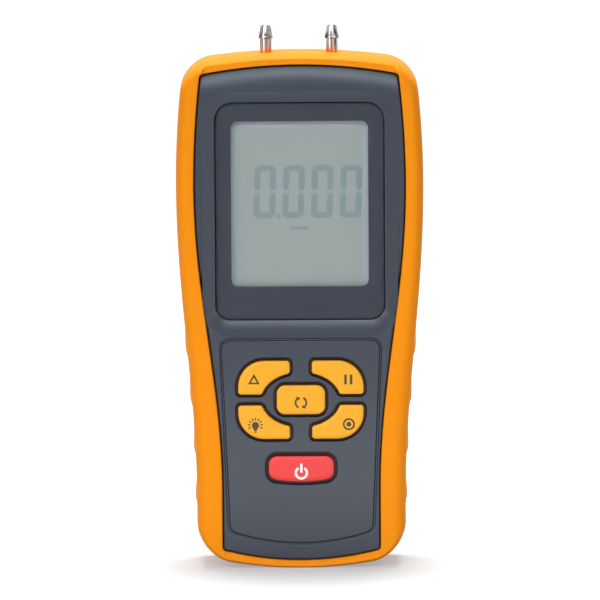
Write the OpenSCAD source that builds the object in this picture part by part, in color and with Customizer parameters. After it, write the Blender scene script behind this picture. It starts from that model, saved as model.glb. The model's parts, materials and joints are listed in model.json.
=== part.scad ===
// Digital manometer: a hand-held differential pressure meter in a rubber boot.
// Seen from the front, X runs to the right, Z runs up and the front faces -Y.
// The origin lies under the middle of the boot's foot. Lengths are in millimetres.

/* [Body] */
// Height of the boot, without the pressure ports
body_h = 167; // [162.5:0.5:178]
// Depth of the boot, from the front rim to the back rim
body_d = 38; // [37.5:0.1:42]
// Half of the boot's width at the grip
waist_half = 33.95; // [33.6:0.05:36]
// Half of the boot's width at its widest
belly_half = 40.15; // [39.8:0.05:44]
// Half of the boot's width where the top corners begin
crown_half = 38.85; // [38.5:0.05:42]
// Height at which the grip starts to widen
waist_z = 20.5; // [16:0.5:24]
// Distance from the top down to the widest place
belly_drop = 42.5; // [38:0.5:48]
// Distance from the top down to the place where the crown is measured
crown_drop = 14.3; // [12:0.1:16]
// Radius of the long arc along the top
top_r = 222; // [200:5:300]
// Radius of the long arc along the bottom
bottom_r = 140; // [120:5:200]
// Size of the boot's top corners
top_corner = 9; // [8:0.5:11]
// Size of the boot's bottom corners
bottom_corner = 11; // [10:0.5:13]
// Wall of the boot round the case
boot_wall = 2.4; // [2:0.1:2.8]
// Thickness of the boot's lip over the case
lip_t = 3.9; // [3.6:0.1:4.2]
// Depth of the flat that the boot stands on, cut from its bottom arc
foot_cut = 0.3; // [0.2:0.05:0.5]

/* [Grip] */
// Bumps down each side of the boot
bump_count = 4; // [2:1:5]
// Height of the lowest bump's crest
bump_low_z = 22.9; // [21:0.1:25]
// Distance from one bump to the next
bump_pitch = 15.9; // [14:0.1:17]
// Length of a bump's gentle upper side
bump_rise_l = 8.4; // [6:0.1:10]
// Length of a bump's steep lower side
bump_fall_l = 3; // [2.5:0.1:4]
// How far a bump stands proud
bump_h = 0.5; // [0.4:0.05:0.8]

/* [Front panel] */
// Half of the panel's width beside the keys
panel_waist_half = 25.7; // [25.4:0.05:26]
// Half of the panel's width at its widest
panel_belly_half = 34.4; // [33.8:0.05:34.8]
// Half of the panel's width at its top corners
panel_crown_half = 32.2; // [31.6:0.1:32.4]
// Height at which the panel starts to widen
panel_waist_z = 25; // [21:0.5:28]
// Height of the boot's bottom rim at its middle
rim_low = 2.4; // [2.2:0.1:2.8]
// Height of the boot's top rim at its middle
rim_high = 3.2; // [2.9:0.1:3.4]
// Radius of the panel's top arc
panel_top_r = 168; // [150:2:190]
// Radius of the panel's bottom arc
panel_bottom_r = 99; // [90:1:110]
// How far the panel lies below the boot's front rim
panel_sink = 1.7; // [1.5:0.1:1.9]
// How far the back panel lies below the boot's back rim
back_sink = 0.6; // [0.5:0.1:1]
// How far the boot's top band lies below its side rails
band_high_step = 0.9; // [0.3:0.1:1]
// How far the boot's bottom band lies below its side rails
band_low_step = 0.5; // [0.2:0.1:0.6]
// Height of the band that rolls back along the panel's top
roll_h = 8.4; // [7.5:0.1:9]
// How far that band rolls back
roll_d = 2.2; // [1.6:0.1:2.3]
// Wall of the case
wall = 2; // [1.8:0.1:2.2]

/* [Display] */
// Width of the lens
lens_w = 54.3; // [52:0.1:55.4]
// Height of the lens
lens_h = 70.2; // [68.6:0.1:71]
// Thickness of the lens
lens_t = 1.5; // [1.3:0.1:1.6]
// Distance from the boot's top down to the lens
lens_drop = 15.8; // [15:0.1:16.5]
// Radius of the lens's top corners
lens_top_r = 5.5; // [4:0.5:7]
// Radius of the lens's bottom corners
lens_bottom_r = 4.5; // [3.5:0.5:6]
// Width of the clear window in the lens
window_w = 44.5; // [43:0.1:45.5]
// Height of the clear window
window_h = 53.7; // [52:0.1:55]
// Distance from the lens's top down to the window
window_drop = 5.9; // [5:0.1:7]
// Radius of the window's corners
window_r = 2.3; // [1:0.1:3]
// Thickness of the display glass
glass_t = 2.2; // [2:0.1:2.3]

/* [Keys] */
// Height of the middle of the key cluster
cluster_z = 54.9; // [54.3:0.1:55.5]
// Distance from the cluster's middle to its outer side
key_outer = 20.6; // [20:0.1:20.9]
// Distance from the cluster's middle to a corner key's inner end
key_inner = 3.3; // [3:0.1:3.6]
// Distance from the cluster's middle to its top
key_high = 13; // [12.6:0.1:13.2]
// Distance from the cluster's middle to a corner key's near side
key_low = 1.5; // [1.4:0.1:1.7]
// Radius of a corner key's outer corner
key_round = 8.7; // [7.5:0.1:9.2]
// Half width of the oval round which the corner keys lie
hollow_a = 12.6; // [12.2:0.1:12.8]
// Half height of that oval
hollow_b = 8.7; // [8.4:0.1:8.9]
// Width of the middle key
units_w = 16.2; // [15.4:0.1:16.6]
// Height of the middle key
units_h = 10; // [9.4:0.1:10.4]
// Width of the power key
power_w = 21.6; // [20:0.1:22.6]
// Height of the power key
power_h = 8.9; // [8.4:0.1:9.2]
// Height of the power key's middle
power_z = 32.35; // [32.2:0.05:32.8]
// How far the keys lie below the boot's front rim
key_sink = 0.1; // [0:0.05:0.4]
// How far a key travels
key_travel = 1; // [0.7:0.1:1.1]
// Gap between a key and its opening
key_gap = 0.5; // [0.3:0.05:0.6]

/* [Pressure ports] */
// Distance between the two ports
port_pitch = 21.5; // [20:0.5:23]
// How far a port stands out of the boot's top
port_out = 8.8; // [8.5:0.1:10]
// Radius of a port's neck
neck_r = 1.9; // [1.8:0.05:2]
// Radius of a port's barb
barb_r = 2.35; // [2.2:0.05:2.4]
// Radius of a port's tip
tip_r = 1.6; // [1.5:0.05:1.7]
// Length of a port's barb
barb_l = 4.3; // [3.8:0.1:4.6]
// Radius of the hole through a port
port_bore_r = 0.9; // [0.7:0.05:1]

/* [Battery] */
// Width of the battery
battery_w = 26.5; // [25.5:0.1:26.7]
// Height of the battery's can
battery_h = 46; // [45:0.1:46.6]
// Depth of the battery
battery_d = 17.5; // [17:0.1:17.6]
// Width of the battery door
door_w = 32; // [31.4:0.1:32.2]
// Height of the battery door
door_h = 68.8; // [68.4:0.1:69.4]
// Height of the door's bottom edge
door_z = 12.2; // [11.8:0.1:12.4]

/* [Hidden] */

// Small lengths that many pieces share
over = 1;          // overrun of every cut
slack = 0.1;       // gap between pieces that sit in each other
boot_gap = 0.15;   // gap between the boot and the case
round_least = 0.1; // smallest radius left on an inset corner

// Planes through the depth, from the front to the back
half_d = body_d / 2;
lip_y = half_d - lip_t;
shoulder_y = lip_y - slack;
face_y = -half_d + panel_sink;
inner_y = face_y + wall;
back_y = half_d - back_sink;
back_inner_y = back_y - wall;
split_y = 6;
sag_steps = 5;     // points along a sagging edge
corner_steps = 4;  // steps round a small corner
wide_steps = 6;    // steps round a large corner

// Heights that hang from the top
belly_z = body_h - belly_drop;
crown_z = body_h - crown_drop;
lens_z1 = body_h - lens_drop;
lens_z0 = lens_z1 - lens_h;
window_z1 = lens_z1 - window_drop;
window_z0 = window_z1 - window_h;
window_mid_z = (window_z0 + window_z1) / 2;
lens_mid_z = (lens_z0 + lens_z1) / 2;

// Outlines: half widths at waist, belly and crown, their heights, bottom and top at the
// middle, radii of the bottom and top arcs, and sizes of the bottom and top corners
panel_corner = 1;
panel_crown_drop = 6.3;
boot_spec = [waist_half, belly_half, crown_half, waist_z, belly_z, crown_z,
    -foot_cut, body_h, bottom_r, top_r, bottom_corner, top_corner];
panel_spec = [panel_waist_half, panel_belly_half, panel_crown_half,
    panel_waist_z, belly_z, body_h - panel_crown_drop,
    rim_low, body_h - rim_high, panel_bottom_r, panel_top_r, panel_corner, panel_corner];
case_spec = inset(boot_spec, boot_wall + boot_gap);

function clamp(v, low, high) = min(max(v, low), high);
function mix(a, b, t) = a + (b - a) * t;
function unit(v) = v / norm(v);
function turned(v, a) = [v[0] * cos(a) - v[1] * sin(a), v[0] * sin(a) + v[1] * cos(a)];

// The same outline drawn a distance d further in
function inset(s, d) = [s[0] - d, s[1] - d, s[2] - d, s[3], s[4], s[5], s[6] + d, s[7] - d,
    s[8] - d, s[9] - d, max(s[10] - d, round_least), max(s[11] - d, round_least)];

// Half width of an outline at height z: a cosine from waist to belly, a parabola above
function half_at(s, z) = z < s[4]
    ? mix(s[0], s[1], (1 - cos(180 * clamp((z - s[3]) / (s[4] - s[3]), 0, 1))) / 2)
    : mix(s[1], s[2], pow((z - s[4]) / (s[5] - s[4]), 2));
// Height of the bottom and top arcs at distance x from the middle
function low_at(s, x) = s[6] + s[8] - sqrt(s[8] * s[8] - x * x);
function high_at(s, x) = s[7] - s[9] + sqrt(s[9] * s[9] - x * x);

// Points of a smooth corner from p to q, leaving along u and arriving along v
corner_pull_share = 0.55;
function corner(p, u, q, v, size, n) = [for (i = [0:n])
    let (t = i / n, w = 1 - t, h = size * corner_pull_share)
    p * w * w * w + 3 * (p + u * h) * w * w * t + 3 * (q - v * h) * w * t * t + q * t * t * t];

// Share of the side's height at share t of its points, closer together along the grip
dense_share = 0.7;
dense_height_share = 0.5;
function side_share(t) = t < dense_share
    ? t * dense_height_share / dense_share
    : mix(dense_height_share, 1, (t - dense_share) / (1 - dense_share));

// Share of an arc's half length at its point i of n, the last one close to the corner
arc_end_share = 0.97;
function arc_share(i, n) = arc_end_share * i / (n - 1);

// Right half of an outline from the bottom's middle to the top's middle
function half_outline(s, n_arc, n_corner, n_side) =
    let (xl = half_at(s, low_at(s, half_at(s, s[6]))), zl = low_at(s, xl),
        xh = half_at(s, high_at(s, half_at(s, s[7]))), zh = high_at(s, xh),
        x1 = xl - s[10], z2 = zl + s[10], z3 = zh - s[11], x4 = xh - s[11],
        a1 = asin(x1 / s[8]), a4 = asin(x4 / s[9]),
        u2 = unit([half_at(s, z2 + s[10]) - half_at(s, z2), s[10]]),
        u3 = unit([half_at(s, z3) - half_at(s, z3 - s[11]), s[11]]))
    concat([for (i = [0:n_arc - 1]) let (x = x1 * arc_share(i, n_arc)) [x, low_at(s, x)]],
        corner([x1, low_at(s, x1)], [cos(a1), sin(a1)], [half_at(s, z2), z2], u2, s[10], n_corner),
        [for (i = [1:n_side - 1]) let (z = mix(z2, z3, side_share(i / n_side))) [half_at(s, z), z]],
        corner([half_at(s, z3), z3], u3, [x4, high_at(s, x4)], [-cos(a4), sin(a4)], s[11], n_corner),
        [for (i = [n_arc - 1:-1:0]) let (x = x4 * arc_share(i, n_arc)) [x, high_at(s, x)]]);
function mirrored(h) = concat(h, [for (i = [len(h) - 2:-1:1]) [-h[i][0], h[i][1]]]);

// The outlines of stiff parts take few points along the side
case_n = [6, 6, 20];
function case_outline(s, d) = mirrored(half_outline(inset(s, d), case_n[0], case_n[1], case_n[2]));

// A flat outline whose points are [x, z, radius], with n steps round each corner
function rounded(p, n) = [for (i = [0:len(p) - 1])
    let (c = [p[i][0], p[i][1]], before = p[(i + len(p) - 1) % len(p)],
        after = p[(i + 1) % len(p)],
        ua = unit([before[0], before[1]] - c), ub = unit([after[0], after[1]] - c),
        half = acos(clamp(ua * ub, -1, 1)) / 2, turn = cross(ua, ub) < 0 ? 1 : -1,
        mid = c + unit(ua + ub) * p[i][2] / sin(half), start = c + ua * p[i][2] / tan(half) - mid)
    each p[i][2] <= 0 ? [c] : [for (k = [0:n]) mid + turned(start, turn * (180 - 2 * half) * k / n)]];

// A rectangle about [x, z] with corner radii at the bottom and at the top
function plate(x, z, w, h, r_low, r_high, n) = rounded([[x - w / 2, z - h / 2, r_low],
    [x + w / 2, z - h / 2, r_low], [x + w / 2, z + h / 2, r_high], [x - w / 2, z + h / 2, r_high]], n);

// A flat outline in the X-Z plane made solid from depth y0 to y1
module slab(outline, y0, y1) {
    translate([0, y1, 0]) rotate([90, 0, 0]) linear_extrude(height = y1 - y0) polygon(outline);
}

// A round bar along Y, and one along Z
module bar_y(x, z, r, y0, y1, fn = 48) {
    translate([x, y1, z]) rotate([90, 0, 0]) cylinder(h = y1 - y0, r = r, $fn = fn);
}
module bar_z(x, y, r, z0, z1, fn = 48) {
    translate([x, y, z0]) cylinder(h = z1 - z0, r = r, $fn = fn);
}
module bar_x(y, z, r, x0, x1, fn = 32) {
    translate([x0, y, z]) rotate([0, 90, 0]) cylinder(h = x1 - x0, r = r, $fn = fn);
}
// A block between two corners
module block(a, b) {
    translate(a) cube(b - a);
}
// Children once on the right and once on the left
module both_sides() {
    children();
    mirror([1, 0, 0]) children();
}

// A skin through rings of points that run from the front to the back. An open skin is
// closed by a fan round the middle point given for each end
module skin(rings, middles = []) {
    n = len(rings[0]);
    m = len(rings);
    closed = len(middles) == 0;
    walls = [for (j = [0:closed ? m - 1 : m - 2]) for (i = [0:n - 1])
        let (a = j * n + i, b = j * n + (i + 1) % n,
            c = ((j + 1) % m) * n + (i + 1) % n, d = ((j + 1) % m) * n + i)
        each [[a, b, c], [a, c, d]]];
    ends = closed ? [] : [for (i = [0:n - 1])
        each [[(i + 1) % n, i, m * n], [(m - 1) * n + i, (m - 1) * n + (i + 1) % n, m * n + 1]]];
    polyhedron(points = concat([for (r = rings) each r], middles), faces = concat(walls, ends));
}
function at_y(outline, y) = [for (p = outline) [p[0], y, p[1]]];

// BOOT
// Bumps of the grip: how far the side stands proud at height z
function bump_at(z) = bump_h * max([for (k = [0:bump_count - 1])
    let (off = z - bump_low_z - k * bump_pitch, reach = off > 0 ? bump_rise_l : -bump_fall_l)
    off / reach < 1 ? pow(cos(90 * off / reach), 2) : 0]);

boot_n = [5, 6, 52];
boot_hug_y = 13;     // depth to which the boot's sides run straight
boot_grip_y = 10.5;  // depth to which the bumps run
// Rim from the side wall to the opening: share of the rim's width, of its depth and of the
// step down to the bands
rim_shares = [[0.035, 0.4, 0], [0.13, 0.7, 0.3], [0.3, 0.9, 0.8], [0.5, 0.99, 1],
    [0.72, 1, 1], [0.9, 0.96, 1]];
back_rim_shares = [[0.035, 0.4], [0.13, 0.75], [0.3, 0.94], [0.5, 1], [0.9, 1]];
rim_edge_share = 0.85;  // depth of the opening's edge as a share of the rim's

// A ring of the boot's skin: share of the rim's width, of the bumps, depth, and share of the
// step down to the bands along the bottom and the top
function boot_line(t, bump, y, step = 0) =
    let (a = half_outline(boot_spec, boot_n[0], boot_n[1], boot_n[2]),
        b = half_outline(panel_spec, boot_n[0], boot_n[1], boot_n[2]),
        side = boot_n[0] + boot_n[1], last = side + boot_n[1] + boot_n[2],
        half = [for (i = [0:len(a) - 1])
            let (p = mix(a[i], b[i], t))
            [p[0] + bump * (i > side ? bump_at(p[1]) : 0),
                y + step * (i < boot_n[0] ? band_low_step : i > last ? band_high_step : 0),
                max(p[1], 0)]])
    concat(half, [for (i = [len(half) - 2:-1:1]) [-half[i][0], half[i][1], half[i][2]]]);
function cavity_line(y) =
    at_y(mirrored(half_outline(inset(boot_spec, boot_wall), boot_n[0], boot_n[1], boot_n[2])), y);

module boot() {
    rim_y = half_d - boot_hug_y;
    last = len(rim_shares) - 1;
    rings = concat(
        [boot_line(1, 0, -lip_y), boot_line(1, 0, -boot_hug_y - rim_y * rim_edge_share, 1)],
        [for (i = [last:-1:0]) let (r = rim_shares[i])
            boot_line(r[0], 0, -boot_hug_y - rim_y * r[1], r[2])],
        [boot_line(0, 0, -boot_hug_y), boot_line(0, 1, -boot_grip_y)],
        [boot_line(0, 1, boot_grip_y), boot_line(0, 0, boot_hug_y)],
        [for (p = back_rim_shares) boot_line(p[0], 0, boot_hug_y + rim_y * p[1])],
        [boot_line(1, 0, boot_hug_y + rim_y * rim_edge_share), boot_line(1, 0, lip_y)],
        [cavity_line(lip_y), cavity_line(-lip_y)]);
    color([1, 0.62, 0.12]) difference() {
        skin(rings);
        both_sides() bar_z(port_x, 0, boot_hole_r, case_top_z - over, body_h + over);
    }
}

// PRESSURE PORTS
port_x = port_pitch / 2;
boot_hole_r = barb_r + slack;
case_top_z = body_h - boot_wall - boot_gap;
port_flange_r = 3;
port_flange_t = 1;
port_thread_r = 2;
port_flange_z = high_at(case_spec, port_x + port_flange_r) - port_flange_t - slack;
port_pad_z = port_flange_z - wall;
port_nut_r = 4;
port_nut_t = 2.2;
port_pad_half = port_x + port_nut_r + wall;
washer_t = 0.6;
port_thread_end = port_pad_z - washer_t - port_nut_t - port_bore_r;
port_tail_l = 7;
port_top_z = high_at(boot_spec, port_x) + port_out;
port_land = 0.7;

module port(side) {
    x = side * port_x;
    barb_z = port_top_z - barb_l;
    tip_rim = tip_r + slack;
    color([0.78, 0.76, 0.73]) translate([x, 0, 0]) rotate_extrude($fn = 64) polygon([
        [port_bore_r, port_thread_end - port_tail_l], [tip_r, port_thread_end - port_tail_l],
        [tip_r, port_thread_end], [port_thread_r, port_thread_end],
        [port_thread_r, port_flange_z], [port_flange_r, port_flange_z],
        [port_flange_r, port_flange_z + port_flange_t], [neck_r, port_flange_z + port_flange_t],
        [neck_r, barb_z], [barb_r, barb_z], [barb_r, barb_z + port_land],
        [tip_r, port_top_z - port_land], [tip_rim, port_top_z - port_land],
        [tip_rim, port_top_z - slack], [tip_r, port_top_z], [port_bore_r, port_top_z]]);
}
module high_port() port(-1);
module low_port() port(1);

module port_washers() {
    color([0.15, 0.15, 0.16]) both_sides() difference() {
        bar_z(port_x, 0, port_nut_r, port_pad_z - washer_t, port_pad_z);
        bar_z(port_x, 0, port_thread_r + slack, port_pad_z - washer_t - over, port_pad_z + over);
    }
}
module port_nuts() {
    z1 = port_pad_z - washer_t;
    color([0.8, 0.68, 0.35]) both_sides() difference() {
        bar_z(port_x, 0, port_nut_r, z1 - port_nut_t, z1, 6);
        bar_z(port_x, 0, port_thread_r + slack, z1 - port_nut_t - over, z1 + over);
    }
}

// CASE
case_boss_r = 3.1;
case_screw_r = 1.4;
case_screw_head_r = 2.5;
case_screw_head_t = 1.8;
case_screw_sink = 7;
case_screw_seat_y = half_d - case_screw_sink;
case_screw_l = 16;
low_boss_x = 20.5;
low_boss_z = 24;
high_boss_x = 28.3;
high_boss_drop = 10.7;
high_boss_z = body_h - high_boss_drop;
case_bosses = [[low_boss_x, low_boss_z], [high_boss_x, high_boss_z]];

low_post_x = 13.5;
low_post_z = 20;
mid_post_x = 24;
mid_post_drop = 1.8;
high_post_x = 17;
high_post_drop = 12.5;
board_posts = [[low_post_x, low_post_z], [mid_post_x, lens_z0 - mid_post_drop],
    [high_post_x, body_h - high_post_drop]];
post_r = 2.5;
board_screw_r = 1.1;

lens_gap = 0.2;
lens_sink = 0.25;
tape_t = 0.25;
frame_rise = 0.4;
frame_w = 3.1;
lens_y = face_y - frame_rise + lens_sink;
lens_back_y = lens_y + lens_t;
ledge_y = lens_back_y + tape_t;
ledge_t = 1.8;
ledge_back_y = ledge_y + ledge_t;
ledge_hole = 1.2;
soft_edge = 0.5;
panel_gap = 0.35;

pad_rise = 0.4;
pad_y = face_y - pad_rise;
pad_margin = 6.5;
pad_top_z = cluster_z + key_high + pad_margin;
pad_low_z = 7.8;
pad_top_half = 26;
pad_low_half = 23.4;
pad_sag = 3.9;
pad_r = 3;
well_ease = 0.4;
well_insets = [-key_gap - well_ease - slack, -key_gap];

// The raised field round the keys, d further in than its edge
function pad_outline(d) = rounded(concat(
    [[-pad_low_half + d, pad_low_z + pad_sag + d, pad_r - d]],
    [for (k = [1:sag_steps]) let (x = mix(-1, 1, k / (sag_steps + 1)) * (pad_low_half - d))
        [x, pad_low_z + d + pad_sag * pow(x / pad_low_half, 2), 0]],
    [[pad_low_half - d, pad_low_z + pad_sag + d, pad_r - d],
        [pad_top_half - d, pad_top_z - d, pad_r - d], [-pad_top_half + d, pad_top_z - d, pad_r - d]]),
    corner_steps);

function lens_outline(d) = plate(0, lens_mid_z, lens_w - 2 * d, lens_h - 2 * d,
    max(lens_bottom_r - d, round_least), max(lens_top_r - d, round_least), wide_steps);
// The hole behind the lens that the display shows through
function window_hole() = plate(0, window_mid_z, window_w + 2 * ledge_hole, window_h + 2 * ledge_hole,
    window_r, window_r, corner_steps);

// An opening for a key about the place at, with its front edge eased
module well(rims, at) {
    skin([at_y(rims[0], pad_y - slack), at_y(rims[1], pad_y + well_ease), at_y(rims[1], board_y)],
        [[at[0], pad_y - slack, at[1]], [at[0], board_y, at[1]]]);
}

// The panel's front, rolled back along its top
module roll_profile() {
    r = (roll_h * roll_h + roll_d * roll_d) / (2 * roll_d);
    top = body_h - rim_high;
    steps = 10;
    turn = asin(roll_h / r);
    points = concat([[split_y, -over], [face_y - over, -over], [face_y - over, top - roll_h],
            [face_y, top - roll_h]],
        [for (i = [1:steps]) let (a = turn * i / steps)
            [face_y + r * (1 - cos(a)), top - roll_h + r * sin(a)]],
        [[face_y + roll_d, top + over], [split_y, top + over]]);
    translate([-belly_half, 0, 0]) rotate([90, 0, 90])
        linear_extrude(height = 2 * belly_half) polygon(points);
}

module panel_block() {
    intersection() {
        skin([at_y(case_outline(panel_spec, panel_gap + soft_edge), face_y),
            at_y(case_outline(panel_spec, panel_gap), face_y + soft_edge),
            at_y(case_outline(panel_spec, panel_gap), -shoulder_y + wall)],
            [[0, face_y, lens_mid_z], [0, -shoulder_y + wall, lens_mid_z]]);
        roll_profile();
    }
}

module front_case() {
    deep_spec = inset(panel_spec, wall + panel_gap);
    deep = [for (i = [0:len(deep_spec) - 1]) i == 7 ? body_h - rim_high - roll_h : deep_spec[i]];
    color([0.29, 0.31, 0.36]) difference() {
        union() {
            slab(case_outline(case_spec, 0), -shoulder_y, split_y);
            panel_block();
            skin([at_y(lens_outline(-frame_w + frame_rise + soft_edge), face_y - frame_rise),
                at_y(lens_outline(-frame_w), face_y),
                at_y(lens_outline(-frame_w), face_y + wall / 2)],
                [[0, face_y - frame_rise, lens_mid_z], [0, face_y + wall / 2, lens_mid_z]]);
            skin([at_y(pad_outline(soft_edge), pad_y), at_y(pad_outline(0), face_y),
                at_y(pad_outline(0), face_y + wall / 2)],
                [[0, pad_y, cluster_z], [0, face_y + wall / 2, cluster_z]]);
        }
        difference() {
            union() {
                slab(case_outline(case_spec, wall), -shoulder_y + wall, split_y + over);
                slab(case_outline(deep, 0), inner_y, -shoulder_y + wall + slack);
            }
            for (p = case_bosses) both_sides() bar_y(p[0], p[1], case_boss_r, -half_d, split_y);
            for (p = board_posts) both_sides() bar_y(p[0], p[1], post_r, -half_d, board_y);
            slab(lens_outline(-wall), -half_d, ledge_back_y);
            block([-port_pad_half, -split_y, port_pad_z], [port_pad_half, split_y, body_h]);
        }
        slab(lens_outline(-lens_gap), -half_d, ledge_y);
        slab(window_hole(), -half_d, 0);
        for (k = corner_keys) in_corner(k)
            well([for (d = well_insets) corner_key(d)], [key_core_x, cluster_z + key_core_z]);
        well([for (d = well_insets) units_outline(d)], [0, cluster_z]);
        well([for (d = well_insets) power_outline(d)], [0, power_z]);
        for (p = case_bosses) both_sides() bar_y(p[0], p[1], case_screw_r + slack,
            case_screw_seat_y - case_screw_l - over, split_y + over);
        for (p = board_posts) both_sides() bar_y(p[0], p[1], board_screw_r + slack,
            board_y - board_screw_l - slack, board_y + over);
        both_sides() bar_z(port_x, 0, port_thread_r + slack, port_pad_z - over, body_h);
        both_sides() bar_z(port_x, 0, port_flange_r + slack, port_flange_z, body_h);
    }
}

// Rear case with the battery bay
bay_wall = 1.3;
bay_gap = 0.5;
foam_t = 0.6;
door_t = 1.8;
door_gap = 0.25;
door_inner_y = back_y - door_t;
foam_y = door_inner_y - foam_t;
battery_y1 = foam_y - slack / 2;
battery_y0 = battery_y1 - battery_d;
bay_y0 = battery_y0 - slack;
bay_rise = 4.3;
bay_z0 = door_z + bay_rise;
battery_z0 = bay_z0 + slack;
terminal_h = 2.6;
snap_h = 6;
snap_room = 2.4;
bay_z1 = battery_z0 + battery_h + snap_h + snap_room;
bay_half = battery_w / 2 + bay_gap;
door_ledge_t = 1.5;
hinge_r = 1.2;
hinge_pin_r = 0.8;
hinge_pin_l = 1.5;
hinge_gap = 0.1;
hinge_y = back_y - hinge_r;
hinge_z = door_z + hinge_r;
door_mid_z = door_z + door_h / 2;
door_r = 2;
latch_drop = 4;
latch_z = door_z + door_h - latch_drop;
latch_boss_r = 3.3;
latch_block_half = 5;
latch_boss_t = 2;
latch_y = door_inner_y - latch_boss_t;
door_screw_r = 1.25;
door_screw_head_r = 2.4;
door_screw_l = 5;
door_screw_sink = 1.4;
door_screw_seat_y = back_y - door_screw_sink;

module rear_case() {
    ledge_half = door_w / 2 + hinge_pin_l + wall;
    color([0.25, 0.27, 0.32]) difference() {
        union() {
            difference() {
                union() {
                    slab(case_outline(case_spec, 0), split_y, shoulder_y);
                    skin([at_y(case_outline(panel_spec, panel_gap), shoulder_y - wall),
                        at_y(case_outline(panel_spec, panel_gap), back_y - soft_edge),
                        at_y(case_outline(panel_spec, panel_gap + soft_edge), back_y)],
                        [[0, shoulder_y - wall, lens_mid_z], [0, back_y, lens_mid_z]]);
                }
                slab(case_outline(case_spec, wall), split_y - over, shoulder_y - wall);
                slab(case_outline(panel_spec, wall + panel_gap), shoulder_y - wall - slack, back_inner_y);
            }
            block([-ledge_half, back_inner_y - door_ledge_t, door_z - wall],
                [ledge_half, back_inner_y + slack, door_z + door_h + wall]);
            block([-bay_half - bay_wall, bay_y0 - bay_wall, bay_z0 - bay_wall],
                [bay_half + bay_wall, back_inner_y, bay_z1 + bay_wall]);
            block([-latch_block_half, latch_y - door_screw_l, bay_z1],
                [latch_block_half, back_inner_y, door_z + door_h + wall]);
            for (p = case_bosses) both_sides()
                bar_y(p[0], p[1], case_boss_r, split_y, back_inner_y + slack);
        }
        block([-bay_half, bay_y0, bay_z0], [bay_half, back_y + over, bay_z1]);
        slab(plate(0, door_mid_z, door_w + 2 * door_gap, door_h + 2 * door_gap,
            round_least, door_r, corner_steps), door_inner_y - slack, back_y + over);
        bar_x(hinge_y, hinge_z, hinge_r + door_gap, -door_w / 2 - door_gap, door_w / 2 + door_gap);
        bar_x(hinge_y, hinge_z, hinge_pin_r + hinge_gap,
            -door_w / 2 - hinge_pin_l - door_gap, door_w / 2 + hinge_pin_l + door_gap);
        bar_y(0, latch_z, latch_boss_r + door_gap, latch_y - door_gap, back_y);
        bar_y(0, latch_z, door_screw_r + 2 * door_gap, latch_y - door_screw_l + over, back_y);
        block([lead_notch_x0, split_y - lead_notch_h, bay_z1 - over],
            [lead_notch_x1, split_y, bay_z1 + bay_wall + over]);
        for (p = case_bosses) both_sides() {
            bar_y(p[0], p[1], case_screw_r + slack, split_y - over, back_y);
            bar_y(p[0], p[1], case_screw_head_r + slack, case_screw_seat_y, back_y + over);
        }
    }
}

module case_screws() {
    color([0.2, 0.2, 0.22]) for (p = case_bosses) both_sides() difference() {
        union() {
            bar_y(p[0], p[1], case_screw_r, case_screw_seat_y - case_screw_l,
                case_screw_seat_y + slack);
            bar_y(p[0], p[1], case_screw_head_r, case_screw_seat_y,
                case_screw_seat_y + case_screw_head_t);
        }
        screw_cross(p[0], p[1], case_screw_seat_y + case_screw_head_t, case_screw_head_r);
    }
}
// Cross slot in a screw's head, as shares of the head's radius
cross_long_share = 0.6;
cross_thin_share = 0.15;
cross_deep_share = 0.4;
module screw_cross(x, z, y, r) {
    long = r * cross_long_share;
    thin = r * cross_thin_share;
    deep = r * cross_deep_share;
    block([x - long, y - deep, z - thin], [x + long, y + over, z + thin]);
    block([x - thin, y - deep, z - long], [x + thin, y + over, z + long]);
}

// DISPLAY
module lens() {
    color([0.55, 0.6, 0.62, 0.6]) slab(lens_outline(0), lens_y, lens_back_y);
}
module lens_tape() {
    color([0.1, 0.1, 0.11]) difference() {
        slab(lens_outline(lens_gap), lens_back_y, ledge_y);
        slab(window_hole(), lens_back_y - over, ledge_y + over);
    }
}
glass_rim = 3;
glass_w = window_w + 2 * glass_rim;
glass_h = window_h + 2 * glass_rim;
holder_lip_t = 0.4;
holder_wall = 1.6;
holder_lip = 1.5;
holder_r = 1;
sharp_steps = 2;
holder_y0 = ledge_back_y + slack;
glass_y0 = holder_y0 + holder_lip_t;
glass_y1 = glass_y0 + glass_t;
guide_t = 1.4;
guide_y0 = glass_y1 + slack;
zebra_w = 1.4;
zebra_inset = 0.3;

// A plate behind the window with nearly sharp corners
function window_plate(w, h) = plate(0, window_mid_z, w, h, slack, slack, sharp_steps);

module lcd_glass() {
    color([0.58, 0.64, 0.63]) slab(window_plate(glass_w, glass_h), glass_y0, glass_y1);
}
module lcd_holder() {
    outer_w = glass_w + 2 * slack + 2 * holder_wall;
    outer_h = glass_h + 2 * slack + 2 * holder_wall;
    color([0.9, 0.9, 0.88]) difference() {
        slab(plate(0, window_mid_z, outer_w, outer_h, holder_r, holder_r, corner_steps),
            holder_y0, board_y);
        slab(window_plate(glass_w + 2 * slack, glass_h + 2 * slack), glass_y0, board_y + over);
        slab(window_plate(glass_w - 2 * holder_lip, glass_h - 2 * holder_lip),
            holder_y0 - over, board_y);
    }
}

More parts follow.
